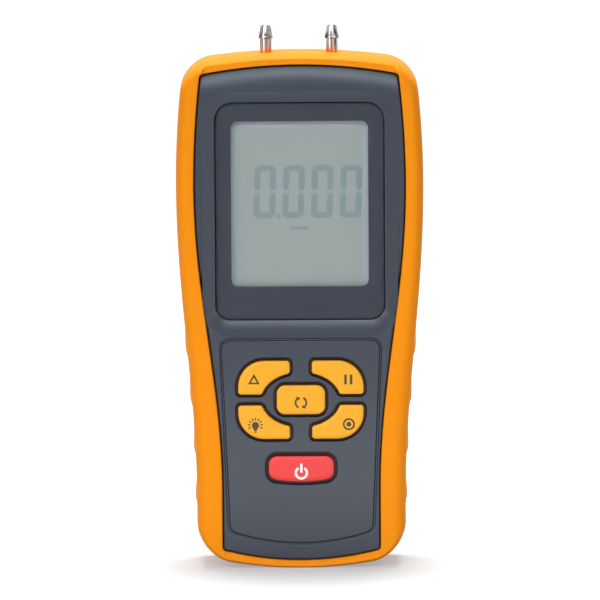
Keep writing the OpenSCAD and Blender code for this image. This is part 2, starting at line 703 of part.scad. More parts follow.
// Light guide with two notches in its right edge, and a lamp in each
led_half = 1.75;
led_d = 1.6;
led_pitch = 26;
led_heights = [window_mid_z - led_pitch / 2, window_mid_z + led_pitch / 2];
guide_w = glass_w - 2 * zebra_inset;
guide_h = glass_h - 2 * (zebra_w + 2 * zebra_inset);
module backlight_guide() {
    color([0.93, 0.95, 0.9]) difference() {
        slab(window_plate(guide_w, guide_h), guide_y0, guide_y0 + guide_t);
        for (z = led_heights) block([glass_w / 2 - led_d - zebra_inset, guide_y0 - over, z - led_half],
            [glass_w / 2, guide_y0 + guide_t + over, z + led_half]);
    }
}
module backlight_led() {
    half = led_half - slack;
    color([0.95, 0.93, 0.7]) for (z = led_heights)
        block([glass_w / 2 - led_d, guide_y0 + slack, z - half], [glass_w / 2 - slack, board_y, z + half]);
}
module zebra_strips() {
    reach = glass_h / 2 - zebra_inset - zebra_w / 2;
    color([0.55, 0.25, 0.4]) for (z = [window_mid_z - reach, window_mid_z + reach])
        block([-guide_w / 2, glass_y1, z - zebra_w / 2], [guide_w / 2, board_y, z + zebra_w / 2]);
}

// BOARD
board_stand = 6.3;
board_y = inner_y + board_stand;
board_t = 1.6;
board_back_y = board_y + board_t;
board_screw_l = 5;
board_low_half = 16.5;
board_key_half = 25;
board_lens_half = 28.5;
board_top_half = 24;
board_low_z = 9;
board_r = 1;
board_step_gap = 3.4;
board_top_drop = 9.5;
board_neck_gap = 2.7;
board_step_z = low_boss_z + case_boss_r + board_step_gap;
board_top_z = body_h - board_top_drop;
board_neck_z = high_boss_z - case_boss_r - board_neck_gap;

module main_board() {
    step = board_key_half - board_low_half;
    right = [[board_low_half, board_low_z, board_r], [board_low_half, board_step_z, board_r],
        [board_key_half, board_step_z + step / 3, board_r],
        [board_key_half, board_posts[1][1] - step / 2, board_r],
        [board_lens_half, board_posts[1][1] - board_r, board_r],
        [board_lens_half, board_neck_z, board_r],
        [board_top_half, board_neck_z + step / 4, board_r], [board_top_half, board_top_z, board_r]];
    left = [for (i = [len(right) - 1:-1:0]) [-right[i][0], right[i][1], right[i][2]]];
    color([0.1, 0.36, 0.2]) difference() {
        slab(rounded(concat(right, left), corner_steps), board_y, board_back_y);
        for (p = board_posts) both_sides()
            bar_y(p[0], p[1], board_screw_r + slack, board_y - over, board_back_y + over);
    }
}
module board_screws() {
    head_t = 1.4;
    color([0.75, 0.75, 0.78]) for (p = board_posts) both_sides() difference() {
        union() {
            bar_y(p[0], p[1], board_screw_r, board_y - board_screw_l, board_back_y + slack, 32);
            bar_y(p[0], p[1], 2 * board_screw_r, board_back_y, board_back_y + head_t, 32);
        }
        screw_cross(p[0], p[1], board_back_y + head_t, 2 * board_screw_r);
    }
}

// Sizes of the pressure sensor and its tubes
sensor_half = 15;
sensor_h = 14;
nozzle_l = 7;
nozzle_gap = 1.5;
tube_wall = 1.1;
tube_bore_r = tip_r + slack;
tube_grip = 5;
sensor_top_z = port_thread_end - port_tail_l - nozzle_l - nozzle_gap;
sensor_d = -board_back_y + port_flange_r + wall;

// Parts on the back of the board, between the display's foot and the pressure sensor.
// A part's place is a share of the board's half width and of the height between those two
parts_h = sensor_top_z - sensor_h - lens_z0;
function on_board(place) = [board_top_half * place[0], lens_z0 + parts_h * place[1]];

chip_w = 14;
chip_t = 1.6;
chip_place_share = [-0.1, 0.52];
leg_w = 0.5;
leg_l = 1;
leg_count = 8;
module main_chip() {
    pitch = chip_w / (leg_count + 1);
    at = on_board(chip_place_share);
    half = chip_w / 2;
    y = board_back_y;
    color([0.12, 0.12, 0.13]) {
        block([at[0] - half, y + slack, at[1] - half], [at[0] + half, y + chip_t, at[1] + half]);
        for (k = [1:leg_count]) let (off = k * pitch - half) {
            block([at[0] - half - leg_l, y, at[1] + off - leg_w / 2],
                [at[0] + half + leg_l, y + chip_t / 2, at[1] + off + leg_w / 2]);
            block([at[0] + off - leg_w / 2, y, at[1] - half - leg_l],
                [at[0] + off + leg_w / 2, y + chip_t / 2, at[1] + half + leg_l]);
        }
    }
}
// Places of the smaller chips and their sizes: place across and up, then width, height and
// thickness as shares of the main chip's
small_chip_shares = [[0.58, 0.33, 0.43, 0.36, 0.9], [0.58, 0.59, 0.36, 0.29, 0.9],
    [-0.75, 0.1, 0.43, 0.5, 1.2], [0.42, 0.11, 0.23, 0.11, 0.55], [0.67, 0.11, 0.23, 0.11, 0.55],
    [-0.83, 0.6, 0.14, 0.1, 0.5], [-0.83, 0.68, 0.14, 0.1, 0.5], [-0.83, 0.76, 0.14, 0.1, 0.5],
    [0.17, 0.85, 0.23, 0.18, 0.75], [-0.42, 0.85, 0.23, 0.18, 0.75]];
can_r = 2.8;
can_h = 6;
can_place_shares = [[0.9, 0.36], [0.9, 0.6]];
module board_parts() {
    y = board_back_y;
    color([0.2, 0.2, 0.22]) for (c = small_chip_shares)
        let (at = on_board(c), half_w = chip_w * c[2] / 2, half_h = chip_w * c[3] / 2)
        block([at[0] - half_w, y, at[1] - half_h], [at[0] + half_w, y + chip_t * c[4], at[1] + half_h]);
    color([0.15, 0.2, 0.4]) for (c = can_place_shares)
        let (at = on_board(c)) bar_y(at[0], at[1], can_r, y, y + can_h);
}
crystal_place_share = [-0.1, 0.16];
crystal_w = 10.2;
crystal_h = 3.8;
crystal_t = 3.5;
module crystal() {
    at = on_board(crystal_place_share);
    r = crystal_h / 2 - slack;
    color([0.8, 0.8, 0.82]) slab(plate(at[0], at[1], crystal_w, crystal_h, r, r, wide_steps),
        board_back_y, board_back_y + crystal_t);
}
buzzer_place_share = [-0.83, 0.36];
buzzer_r = 6;
buzzer_t = 6.5;
buzzer_hole_r = 1;
module buzzer() {
    at = on_board(buzzer_place_share);
    y1 = board_back_y + buzzer_t;
    color([0.1, 0.1, 0.11]) difference() {
        bar_y(at[0], at[1], buzzer_r, board_back_y, y1);
        bar_y(at[0], at[1], buzzer_hole_r, y1 - over, y1 + over, 24);
    }
}

// PRESSURE SENSOR and its tubes
module pressure_sensor() {
    color([0.85, 0.85, 0.83]) difference() {
        union() {
            block([-sensor_half, board_back_y, sensor_top_z - sensor_h],
                [sensor_half, board_back_y + sensor_d, sensor_top_z]);
            both_sides() bar_z(port_x, 0, tip_r, sensor_top_z - slack, sensor_top_z + nozzle_l, 32);
        }
        both_sides() bar_z(port_x, 0, port_bore_r, sensor_top_z - sensor_h / 2,
            sensor_top_z + nozzle_l + over, 32);
    }
}
module tube(side) {
    z0 = sensor_top_z + nozzle_l - tube_grip;
    z1 = port_thread_end - port_tail_l + tube_grip;
    color([0.9, 0.88, 0.8]) difference() {
        bar_z(side * port_x, 0, tube_bore_r + tube_wall, z0, z1, 32);
        bar_z(side * port_x, 0, tube_bore_r, z0 - over, z1 + over, 32);
    }
}
module high_tube() tube(-1);
module low_tube() tube(1);

// KEYS
corner_keys = ["dif", "hold", "light", "rec"];
key_rim = 1;
key_soft = 0.45;
key_corner = 1.3;
key_y = -half_d + key_sink;
flange_gap = 0.4;
flange_t = 1;
flange_lap = 0.4;  // how far a key's flange reaches behind the panel
flange_out = key_gap + flange_lap;
flange_y = inner_y + flange_gap;
core_r = 3.5;
pill_r = 2.5;
pill_t = 0.8;
contact_t = 0.05;
pill_back_y = board_y - contact_t - key_travel - contact_t;
core_y = pill_back_y - pill_t;
key_core_x = 14;
key_core_z = 8.2;
key_at = [key_core_x, key_core_z];
units_r = 3;
mat_t = 1;
mat_r = 2;
collar_gap = 0.4;
collar_wall = 1.1;
collar_y = flange_y + flange_t + key_travel + flange_gap;
hollow_steps = 5;

// A corner key's outline about the cluster's middle, for the upper right key
function corner_key(d) =
    let (u0 = key_inner + d, u1 = key_outer - d, v0 = key_low + d, v1 = key_high - d,
        a = hollow_a + d, b = hollow_b + d, r = max(key_corner - d, round_least),
        high = acos(u0 / a), low = asin(v0 / b))
    [for (p = rounded(concat([[u1, v0, r], [u1, v1, key_round - d], [u0, v1, r], [u0, b * sin(high), r]],
            [for (k = [1:hollow_steps]) let (t = mix(high, low, k / (hollow_steps + 1)))
                [a * cos(t), b * sin(t), 0]],
            [[a * cos(low), v0, r]]), wide_steps)) p + [0, cluster_z]];
function units_outline(d) = plate(0, cluster_z, units_w - 2 * d, units_h - 2 * d,
    units_r - d, units_r - d, wide_steps);
power_sag = 1.2;
power_r = 3;
function power_outline(d) =
    let (w = power_w / 2 - d, z0 = power_z - power_h / 2 + d, z1 = power_z + power_h / 2 - d,
        r = power_r - d)
    rounded(concat([[-w, z0 + power_sag, r]],
        [for (k = [1:sag_steps]) let (s = mix(-1, 1, k / (sag_steps + 1)))
            [s * w, z0 + power_sag * s * s, 0]],
        [[w, z0 + power_sag, r], [w, z1, r], [-w, z1, r]]), wide_steps);

// Turn the upper right key's place into another corner's
module in_corner(k) {
    flip = [k == "dif" || k == "light" ? 1 : 0, 0, 0];
    drop = [0, 0, k == "light" || k == "rec" ? 1 : 0];
    translate([0, 0, cluster_z]) mirror(flip) mirror(drop) translate([0, 0, -cluster_z]) children();
}

// A key: a cap with a soft rim, a flange behind the panel and a core for its pill
module key_body(rims, flange, at) {
    middle = [at[0], at[1]];
    skin([at_y(rims[0], key_y), at_y(rims[1], key_y + key_soft / 4), at_y(rims[2], key_y + key_soft),
        at_y(rims[3], key_y + key_rim), at_y(rims[3], flange_y + flange_t / 2)],
        [[middle[0], key_y, middle[1]], [middle[0], flange_y + flange_t / 2, middle[1]]]);
    slab(flange, flange_y, flange_y + flange_t);
    bar_y(at[0], at[1], core_r, flange_y + flange_t / 2, core_y);
}
key_insets = [key_rim, key_rim / 2, key_rim / 8, 0];
module corner_button(k) {
    in_corner(k) key_body([for (d = key_insets) corner_key(d)], corner_key(-flange_out),
        [key_at[0], cluster_z + key_at[1]]);
}
key_yellow = [0.98, 0.74, 0.16];
module dif_button() color(key_yellow) corner_button("dif");
module hold_button() color(key_yellow) corner_button("hold");
module light_button() color(key_yellow) corner_button("light");
module rec_button() color(key_yellow) corner_button("rec");
module units_button() color(key_yellow)
    key_body([for (d = key_insets) units_outline(d)], units_outline(-flange_out), [0, cluster_z]);
module power_button() color([0.93, 0.26, 0.26])
    key_body([for (d = key_insets) power_outline(d)], power_outline(-flange_out), [0, power_z]);

module pill(x, z) {
    color([0.1, 0.1, 0.1]) bar_y(x, z, pill_r, core_y, pill_back_y);
}
module dif_pill() pill(-key_at[0], cluster_z + key_at[1]);
module hold_pill() pill(key_at[0], cluster_z + key_at[1]);
module light_pill() pill(-key_at[0], cluster_z - key_at[1]);
module rec_pill() pill(key_at[0], cluster_z - key_at[1]);
module units_pill() pill(0, cluster_z);
module power_pill() pill(0, power_z);

key_places = [[-key_at[0], cluster_z + key_at[1]], [key_at[0], cluster_z + key_at[1]],
    [-key_at[0], cluster_z - key_at[1]], [key_at[0], cluster_z - key_at[1]],
    [0, cluster_z], [0, power_z]];

module keypad_mat() {
    hole_r = core_r + collar_gap;
    collar_r = hole_r + collar_wall;
    reach = key_at[1] + collar_r + wall;
    tail_z = power_z - collar_r - wall;
    color([0.85, 0.83, 0.78]) difference() {
        union() {
            slab(plate(0, cluster_z, 2 * (key_at[0] + collar_r + wall), 2 * reach,
                mat_r, mat_r, corner_steps), board_y - mat_t, board_y);
            slab(plate(0, (tail_z + cluster_z) / 2, 2 * (low_boss_x - case_boss_r - wall),
                cluster_z - tail_z, mat_r, mat_r, corner_steps), board_y - mat_t, board_y);
            for (p = key_places) bar_y(p[0], p[1], collar_r, collar_y, board_y);
        }
        for (p = key_places) bar_y(p[0], p[1], hole_r, collar_y - over, board_y + over);
    }
}
comb_gap = 0.4;
module key_contacts() {
    color([0.85, 0.7, 0.3]) for (p = key_places) difference() {
        bar_y(p[0], p[1], pill_r, board_y - contact_t, board_y, 32);
        block([p[0] - comb_gap / 2, board_y - over, p[1] - core_r],
            [p[0] + comb_gap / 2, board_y + over, p[1] + core_r]);
    }
}

// BATTERY
terminal_pitch = 12.7;
battery_mid_y = (battery_y0 + battery_y1) / 2;
battery_z1 = battery_z0 + battery_h;
battery_r = 2;
stud_r = 2.6;
socket_r = 3.4;
snap_w = 25;
snap_d = 12;
module battery() {
    z1 = battery_z1 + terminal_h;
    color([0.3, 0.32, 0.35]) {
        translate([0, 0, battery_z0]) linear_extrude(height = battery_h)
            polygon(plate(0, battery_mid_y, battery_w, battery_d, battery_r, battery_r, wide_steps));
        bar_z(-terminal_pitch / 2, battery_mid_y, stud_r, battery_z1 - slack, z1, 32);
        bar_z(terminal_pitch / 2, battery_mid_y, socket_r, battery_z1 - slack, z1, 6);
    }
}
module snap_connector() {
    color([0.12, 0.12, 0.13]) difference() {
        block([-snap_w / 2, battery_mid_y - snap_d / 2, battery_z1],
            [snap_w / 2, battery_mid_y + snap_d / 2, battery_z1 + snap_h]);
        for (x = [-terminal_pitch / 2, terminal_pitch / 2]) bar_z(x, battery_mid_y, socket_r + slack,
            battery_z1 - over, battery_z1 + terminal_h + slack, 32);
    }
}

// Two leads from the connector to the board, through a notch in the bay's top wall
lead_r = 0.7;
lead_notch_x0 = 5;
lead_notch_x1 = 9.5;
lead_notch_h = 4;
red_x = 6;
black_x = 8.4;
lead_sides = 8;
lead_z = battery_z1 + snap_h;
lead_y = split_y - lead_notch_h / 2;
lead_rise = 8;
lead_end_z = bay_z1 + bay_wall + lead_rise;
function lead_path() = [[battery_mid_y, lead_z], [battery_mid_y, lead_z + lead_r],
    [battery_mid_y - lead_r, lead_z + 2 * lead_r], [lead_y + lead_r, lead_z + 2.4 * lead_r],
    [lead_y, lead_z + 3.4 * lead_r], [lead_y, bay_z1 + bay_wall],
    [lead_y - lead_r, bay_z1 + bay_wall + 3 * lead_r], [lead_y - 4 * lead_r, lead_end_z - 4 * lead_r],
    [lead_y - 7 * lead_r, lead_end_z - lead_r], [board_back_y + 2 * lead_r, lead_end_z],
    [board_back_y, lead_end_z]];
// A lead swept along a path in a plane of constant x
module lead(x) {
    path = lead_path();
    last = len(path) - 1;
    rings = [for (i = [0:last])
        let (u = unit(path[min(i + 1, last)] - path[max(i - 1, 0)]), side = lead_r * [-u[1], u[0]])
        [for (k = [0:lead_sides - 1]) let (a = 360 * k / lead_sides, q = path[i] + side * sin(a))
            [x + lead_r * cos(a), q[0], q[1]]]];
    skin(rings, [[x, path[0][0], path[0][1]], [x, path[last][0], path[last][1]]]);
}
module red_lead() color([0.8, 0.1, 0.1]) lead(red_x);
module black_lead() color([0.08, 0.08, 0.08]) lead(black_x);

// BATTERY DOOR
ridge_count = 6;
ridge_pitch = 2.4;
ridge_half = 7;
ridge_r = 0.6;
ridge_rise = 0.3;
ridge_drop = 8;
module battery_door() {
    color([0.26, 0.28, 0.33]) difference() {
        union() {
            slab(plate(0, door_mid_z + hinge_r / 2, door_w, door_h - hinge_r,
                round_least, door_r, corner_steps), door_inner_y, back_y);
            for (k = [0:ridge_count - 1]) bar_x(back_y + ridge_rise - ridge_r,
                latch_z - ridge_drop - k * ridge_pitch, ridge_r, -ridge_half, ridge_half);
            bar_x(hinge_y, hinge_z, hinge_r, -door_w / 2, door_w / 2);
            bar_x(hinge_y, hinge_z, hinge_pin_r, -door_w / 2 - hinge_pin_l, door_w / 2 + hinge_pin_l);
            bar_y(0, latch_z, latch_boss_r, latch_y, door_inner_y + slack);
        }
        bar_y(0, latch_z, door_screw_r + slack, latch_y - over, back_y);
        bar_y(0, latch_z, door_screw_head_r + slack, door_screw_seat_y, back_y + over);
    }
}
foam_share = 0.7;
foam_r = 1;
module door_foam() {
    color([0.2, 0.2, 0.2]) slab(plate(0, battery_z0 + battery_h / 2, battery_w * foam_share,
        battery_h * foam_share, foam_r, foam_r, corner_steps), foam_y, door_inner_y);
}
module door_screw() {
    color([0.75, 0.75, 0.78]) difference() {
        union() {
            bar_y(0, latch_z, door_screw_r, door_screw_seat_y - door_screw_l, door_screw_seat_y + slack);
            bar_y(0, latch_z, door_screw_head_r, door_screw_seat_y, back_y - slack);
        }
        screw_cross(0, latch_z, back_y - slack, door_screw_head_r);
    }
}

boot();
front_case();
rear_case();
lens();
lens_tape();
lcd_glass();
lcd_holder();
backlight_guide();
backlight_led();
zebra_strips();
main_board();
board_screws();
case_screws();
keypad_mat();
key_contacts();
main_chip();
board_parts();
crystal();
buzzer();
pressure_sensor();
high_port();
low_port();
port_washers();
port_nuts();
high_tube();
low_tube();
battery();
snap_connector();
red_lead();
black_lead();
dif_button();
hold_button();
light_button();
rec_button();
units_button();
power_button();
dif_pill();
hold_pill();
light_pill();
rec_pill();
units_pill();
power_pill();
battery_door();
door_foam();
door_screw();
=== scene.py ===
"""Looks of a hand-held digital manometer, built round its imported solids.

Lengths are in metres. X runs to the right, Z runs up and the front faces -Y.
"""
import json
import math

import bmesh
import bpy
from bpy.props import FloatProperty, FloatVectorProperty, IntProperty, PointerProperty
from mathutils import Matrix, Vector

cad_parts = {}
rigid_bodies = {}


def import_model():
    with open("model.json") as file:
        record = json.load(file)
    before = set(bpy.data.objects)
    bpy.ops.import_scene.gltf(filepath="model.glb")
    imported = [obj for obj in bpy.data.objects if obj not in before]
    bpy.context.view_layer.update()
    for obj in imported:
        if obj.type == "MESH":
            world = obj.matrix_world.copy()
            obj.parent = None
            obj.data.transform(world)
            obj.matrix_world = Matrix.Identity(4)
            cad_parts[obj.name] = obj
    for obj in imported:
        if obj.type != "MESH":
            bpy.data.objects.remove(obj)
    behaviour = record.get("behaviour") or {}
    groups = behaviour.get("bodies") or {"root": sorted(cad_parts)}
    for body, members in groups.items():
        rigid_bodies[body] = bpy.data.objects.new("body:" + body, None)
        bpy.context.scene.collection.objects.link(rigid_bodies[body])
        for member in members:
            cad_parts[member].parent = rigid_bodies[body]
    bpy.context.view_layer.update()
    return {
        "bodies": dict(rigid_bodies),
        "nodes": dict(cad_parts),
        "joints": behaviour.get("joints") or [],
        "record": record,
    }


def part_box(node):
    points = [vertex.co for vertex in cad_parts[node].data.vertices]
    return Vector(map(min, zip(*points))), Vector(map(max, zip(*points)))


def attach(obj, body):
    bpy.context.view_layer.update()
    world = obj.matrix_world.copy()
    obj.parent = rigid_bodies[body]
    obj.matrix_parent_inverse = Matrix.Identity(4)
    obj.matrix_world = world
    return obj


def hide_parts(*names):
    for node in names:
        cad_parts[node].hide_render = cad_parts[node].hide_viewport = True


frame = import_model()

bl_info = {
    "name": "Digital manometer",
    "version": (1, 0, 0),
    "blender": (4, 5, 0),
    "location": "3D View > Sidebar > Manometer",
    "description": "Builds the looks of a digital manometer in a rubber boot",
    "category": "Object",
}

MM = 0.001
# Points closer than this are the same
TINY = 0.001 * MM
BOOT_LOW, BOOT_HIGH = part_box("boot")
CASE_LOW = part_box("front_case")[0]
LENS_LOW, LENS_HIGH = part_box("lens")
GLASS_LOW, GLASS_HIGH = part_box("lcd_glass")
PORT_LOW, PORT_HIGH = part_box("low_port")
KEY_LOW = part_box("units_button")[0]
# Depth of the ledge's face, to which the border printed behind the lens reaches
TAPE_Y = LENS_HIGH.y + 0.25 * MM


def srgb(red, green, blue):
    """A screen colour from 0 to 255 as the linear values that shaders take."""
    def linear(v):
        v = v / 255
        return v / 12.92 if v <= 0.04045 else ((v + 0.055) / 1.055) ** 2.4
    return (linear(red), linear(green), linear(blue))


def length(description, default):
    """A length given in millimetres."""
    return FloatProperty(description=description, default=default * MM, unit="LENGTH",
                         subtype="DISTANCE", precision=5)


def share(description, default):
    return FloatProperty(description=description, default=default, min=0.0, max=1.0,
                         subtype="FACTOR")


def power(description, default):
    return FloatProperty(description=description, default=default, min=0.0, unit="POWER")


def angle(description, degrees):
    return FloatProperty(description=description, default=math.radians(degrees),
                         unit="ROTATION", subtype="ANGLE")


def colour(description, default):
    return FloatVectorProperty(description=description, default=default, size=3, min=0.0,
                               max=1.0, subtype="COLOR")


# Settings

class BootSettings(bpy.types.PropertyGroup):
    waist: length("Half of the boot's width at the grip", 33.95)
    belly: length("Half of the boot's width at its widest", 40.15)
    crown: length("Half of the boot's width where the top corners begin", 38.85)
    waist_z: length("Height at which the grip starts to widen", 20.5)
    belly_z: length("Height of the widest place", 124.5)
    crown_z: length("Height at which the crown is measured", 152.7)
    top_r: length("Radius of the long arc along the top", 222)
    bottom_r: length("Radius of the long arc along the bottom", 140)
    top_corner: length("Size of the top corners", 9)
    bottom_corner: length("Size of the bottom corners", 11)
    foot_cut: length("Depth of the flat that the boot stands on", 0.3)
    hug_y: length("Depth to which the sides run straight", 13)
    grip_y: length("Depth to which the bumps run", 10.5)
    top_y: length("Depth to which the boot's top runs straight", 9)
    lip_y: length("Depth of the lip's underside", 15.1)
    wall: length("Wall of the boot round the case", 2.4)
    top_step: length("How far the top band lies below the side rails", 1.3)
    low_step: length("How far the bottom band lies below the rails", 0.5)
    bump_h: length("How far a grip bump stands proud", 0.5)
    bump_z: length("Height of the lowest bump's crest", 22.9)
    bump_pitch: length("Distance from one crest to the next", 15.9)
    bump_rise: length("Length of a bump's gentle upper side", 8.4)
    bump_fall: length("Length of a bump's steep lower side", 3)
    bumps: IntProperty(description="Bumps down each side", default=4, min=0)
    tint: colour("Colour of the rubber", srgb(254, 149, 19))


class PanelSettings(bpy.types.PropertyGroup):
    waist: length("Half of the panel's width beside the keys", 25.7)
    belly: length("Half of the panel's width at its widest", 34.4)
    crown: length("Half of the panel's width at its top corners", 32.2)
    waist_z: length("Height at which the panel starts to widen", 25)
    crown_z: length("Height at which the crown is measured", 160.7)
    low_rim: length("Height of the boot's bottom rim at its middle", 2.4)
    high_rim: length("Height of the boot's top rim at its middle", 3.2)
    top_r: length("Radius of the panel's top arc", 168)
    bottom_r: length("Radius of the panel's bottom arc", 99)
    corner: length("Size of the panel's corners", 1)
    gap: length("Gap between the panel and the boot", 0.27)
    edge: length("Rounding of the panel's edge", 0.45)
    rise: length("How far the lens frame and the key field stand up", 0.3)
    roll_h: length("Height of the band that rolls back at the top", 8.4)
    roll_d: length("How far the band at the top rolls back", 1.6)
    frame_w: length("Width of the raised frame round the lens", 4.6)
    skirt_y: length("Depth to which the panel's skirt runs", 13.1)
    inner_y: length("Depth of the panel's inner face", 15.3)
    chin_r: length("Width of the soft rounding under the lens", 5)
    chin_d: length("Depth of the soft rounding under the lens", 0.85)
    groove: length("Depth of the groove round the key field", 0.3)
    field_top: length("Height of the key field's top edge", 74.4)
    field_low: length("Height of the key field's bottom edge", 7.8)
    field_top_half: length("Half width of the field's top", 26)
    field_low_half: length("Half width of the field's bottom", 23.4)
    field_sag: length("How far the field's bottom edge sags", 3.9)
    field_r: length("Radius of the field's corners", 3)
    tint: colour("Colour of the case's plastic", srgb(42, 50, 64))


class DisplaySettings(bpy.types.PropertyGroup):
    lens_top_r: length("Radius of the lens's top corners", 5.5)
    lens_low_r: length("Radius of the lens's bottom corners", 4.5)
    lens_gap: length("Gap between the lens and its frame", 0.36)
    window_w: length("Width of the clear window", 44.5)
    window_h: length("Height of the clear window", 53.7)
    window_z: length("Height of the window's middle", 118.45)
    window_r: length("Radius of the window's corners", 2.3)
    ledge_back: length("Depth of the back of the ledge behind the lens", 13.9)
    digit_w: length("Width of a digit", 7.1)
    digit_h: length("Height of a digit", 17.3)
    digit_pitch: length("Distance from one digit to the next", 9.3)
    digit_x: length("Middle of the four digits, from the meter's middle", 2.7)
    digit_z: length("Height of the digits' middle", 122.25)
    bar: length("Width of a digit's segments", 2.05)
    slant: angle("Lean of the digits", 2)
    digits: IntProperty(description="Digits on the display", default=4, min=1)
    border: colour("Colour printed behind the lens's edge", srgb(47, 48, 57))
    # A near-black collar in the gap round the lens: it keeps light from coming in through the
    # lens's edge, and its colour is painted shade for the gap
    seal: colour("Colour of the seal round the lens", srgb(14, 14, 18))
    glass: colour("Colour of the display's ground", srgb(116, 121, 118))
    edge_w: length("Width of the bluer zone along the window's edges", 2.8)
    edge_tint: colour("Colour of the bluer zone", srgb(128, 135, 139))
    ink: colour("Colour of the display's segments", srgb(96, 108, 111))


class KeySettings(bpy.types.PropertyGroup):
    middle_z: length("Height of the middle of the key cluster", 54.9)
    outer: length("From the middle to the cluster's outer side", 20.6)
    inner: length("From the middle to a corner key's inner end", 3.3)
    high: length("From the middle to the cluster's top", 13)
    low: length("From the middle to a corner key's near side", 1.5)
    round: length("Radius of a corner key's outer corner", 8.7)
    hollow_a: length("Half width of the oval in the cluster", 12.6)
    hollow_b: length("Half height of the oval in the cluster", 8.7)
    corner: length("Radius of a corner key's small corners", 1.3)
    units_w: length("Width of the middle key", 16.2)
    units_h: length("Height of the middle key", 10)
    units_r: length("Radius of the middle key's corners", 3)
    power_w: length("Width of the power key", 21.6)
    power_h: length("Height of the power key", 8.9)
    power_z: length("Height of the power key's middle", 32.35)
    power_sag: length("How far the power key's lower edge sags", 1.2)
    power_r: length("Radius of the power key's corners", 3)
    gap: length("Gap between a key and its opening", 0.66)
    ease: length("Rounding of the openings' edges", 0.35)
    inset: length("How far a cap draws in from the key's outline", 0.28)
    power_gap: length("How much wider the power key's gap is", 0.2)
    rim: length("Width of the sloping rim on a key's top", 1.5)
    fall: length("How far the rim falls away", 1)
    flange_out: length("How far the flange reaches past the key", 0.9)
    flange_y: length("Depth of the flange's front", 14.9)
    flange_t: length("Thickness of the flange", 1)
    sign_t: length("Thickness of the printed signs", 0.04)
    yellow: colour("Colour of the five yellow keys", srgb(249, 174, 18))
    red: colour("Colour of the power key", srgb(242, 62, 62))
    # Painted shade: the colours that the keys' rubber turns to down in their wells
    yellow_painted_shade: colour("Colour of the yellow rubber down in its well", srgb(74, 26, 10))
    red_painted_shade: colour("Colour of the red rubber down in its well", srgb(70, 12, 18))
    ink: colour("Colour of the signs on the yellow keys", srgb(58, 36, 18))
    white: colour("Colour of the sign on the power key", srgb(250, 246, 244))


class PortSettings(bpy.types.PropertyGroup):
    x: length("From the middle to a port's axis", 10.75)
    neck_r: length("Radius of the neck", 1.9)
    barb_r: length("Radius of the barb", 2.35)
    barb_l: length("Length from the barb's edge to the tip", 4.3)
    land: length("Length of the barb's straight edge", 0.7)
    tip_r: length("Radius of the tip", 1.6)
    bore_r: length("Radius of the hole through the port", 0.9)
    flange_r: length("Radius of the flange under the boot", 3)
    flange_z: length("Height of the flange", 162.4)
    nickel: colour("Colour of the nickel plate", (0.17, 0.16, 0.15))


class StageSettings(bpy.types.PropertyGroup):
    distance: length("From the camera to the meter", 2950)
    elevation: angle("How far the camera looks down", 5.3)
    roll: angle("Turn of the picture", -0.35)
    aim_x: length("How far right the picture's middle lies", -0.1)
    aim_z: length("Height of the point in the picture's middle", 87.45)
    picture: length("Height of the scene across the picture", 194.34)
    floor: length("Size of the floor", 24000)
    floor_glow: share("How much the floor glows close to the meter", 0.36)
    top_light: power("Power of the wide lamp above the front", 9.5)
    left_light: power("Power of the upright strip lamp at the left", 7.0)
    right_light: power("Power of the upright strip lamp at the right", 2.2)
    low_light: power("Power of the low card in front of the foot", 0.045)
    back_light: power("Power of the lamp above and behind", 22.0)
    ambient: share("Strength of the light from all round", 0.2)


# Flat outlines, as lists of (x, z)

def mix(a, b, t):
    return a + (b - a) * t


def clamp(v, low, high):
    return min(max(v, low), high)


def ease(t):
    """A share from 0 to 1 that starts and ends softly."""
    t = clamp(t, 0, 1)
    return t * t * (3 - 2 * t)


def quarter(step=15):
    """A quarter round from a face to its side: shares of its radius inwards and back."""
    turns = [math.radians(turn) for turn in range(90, -1, -step)]
    return [(1 - math.cos(a), 1 - math.sin(a)) for a in turns]


def square(x, z, w, h):
    """A rectangle from its middle and its half sizes."""
    return [(x - w, z - h), (x + w, z - h), (x + w, z + h), (x - w, z + h)]


def around(r, degrees):
    """A point at a radius and a clock angle."""
    a = math.radians(degrees)
    return (r * math.sin(a), r * math.cos(a))


def arc(r0, r1, start, end, steps):
    """A curved bar between two radii, from one clock angle to another, in straight tiles."""
    turns = [mix(start, end, i / steps) for i in range(steps + 1)]
    return [[around(r0, a), around(r1, a), around(r1, b), around(r0, b)]
            for a, b in zip(turns, turns[1:])]


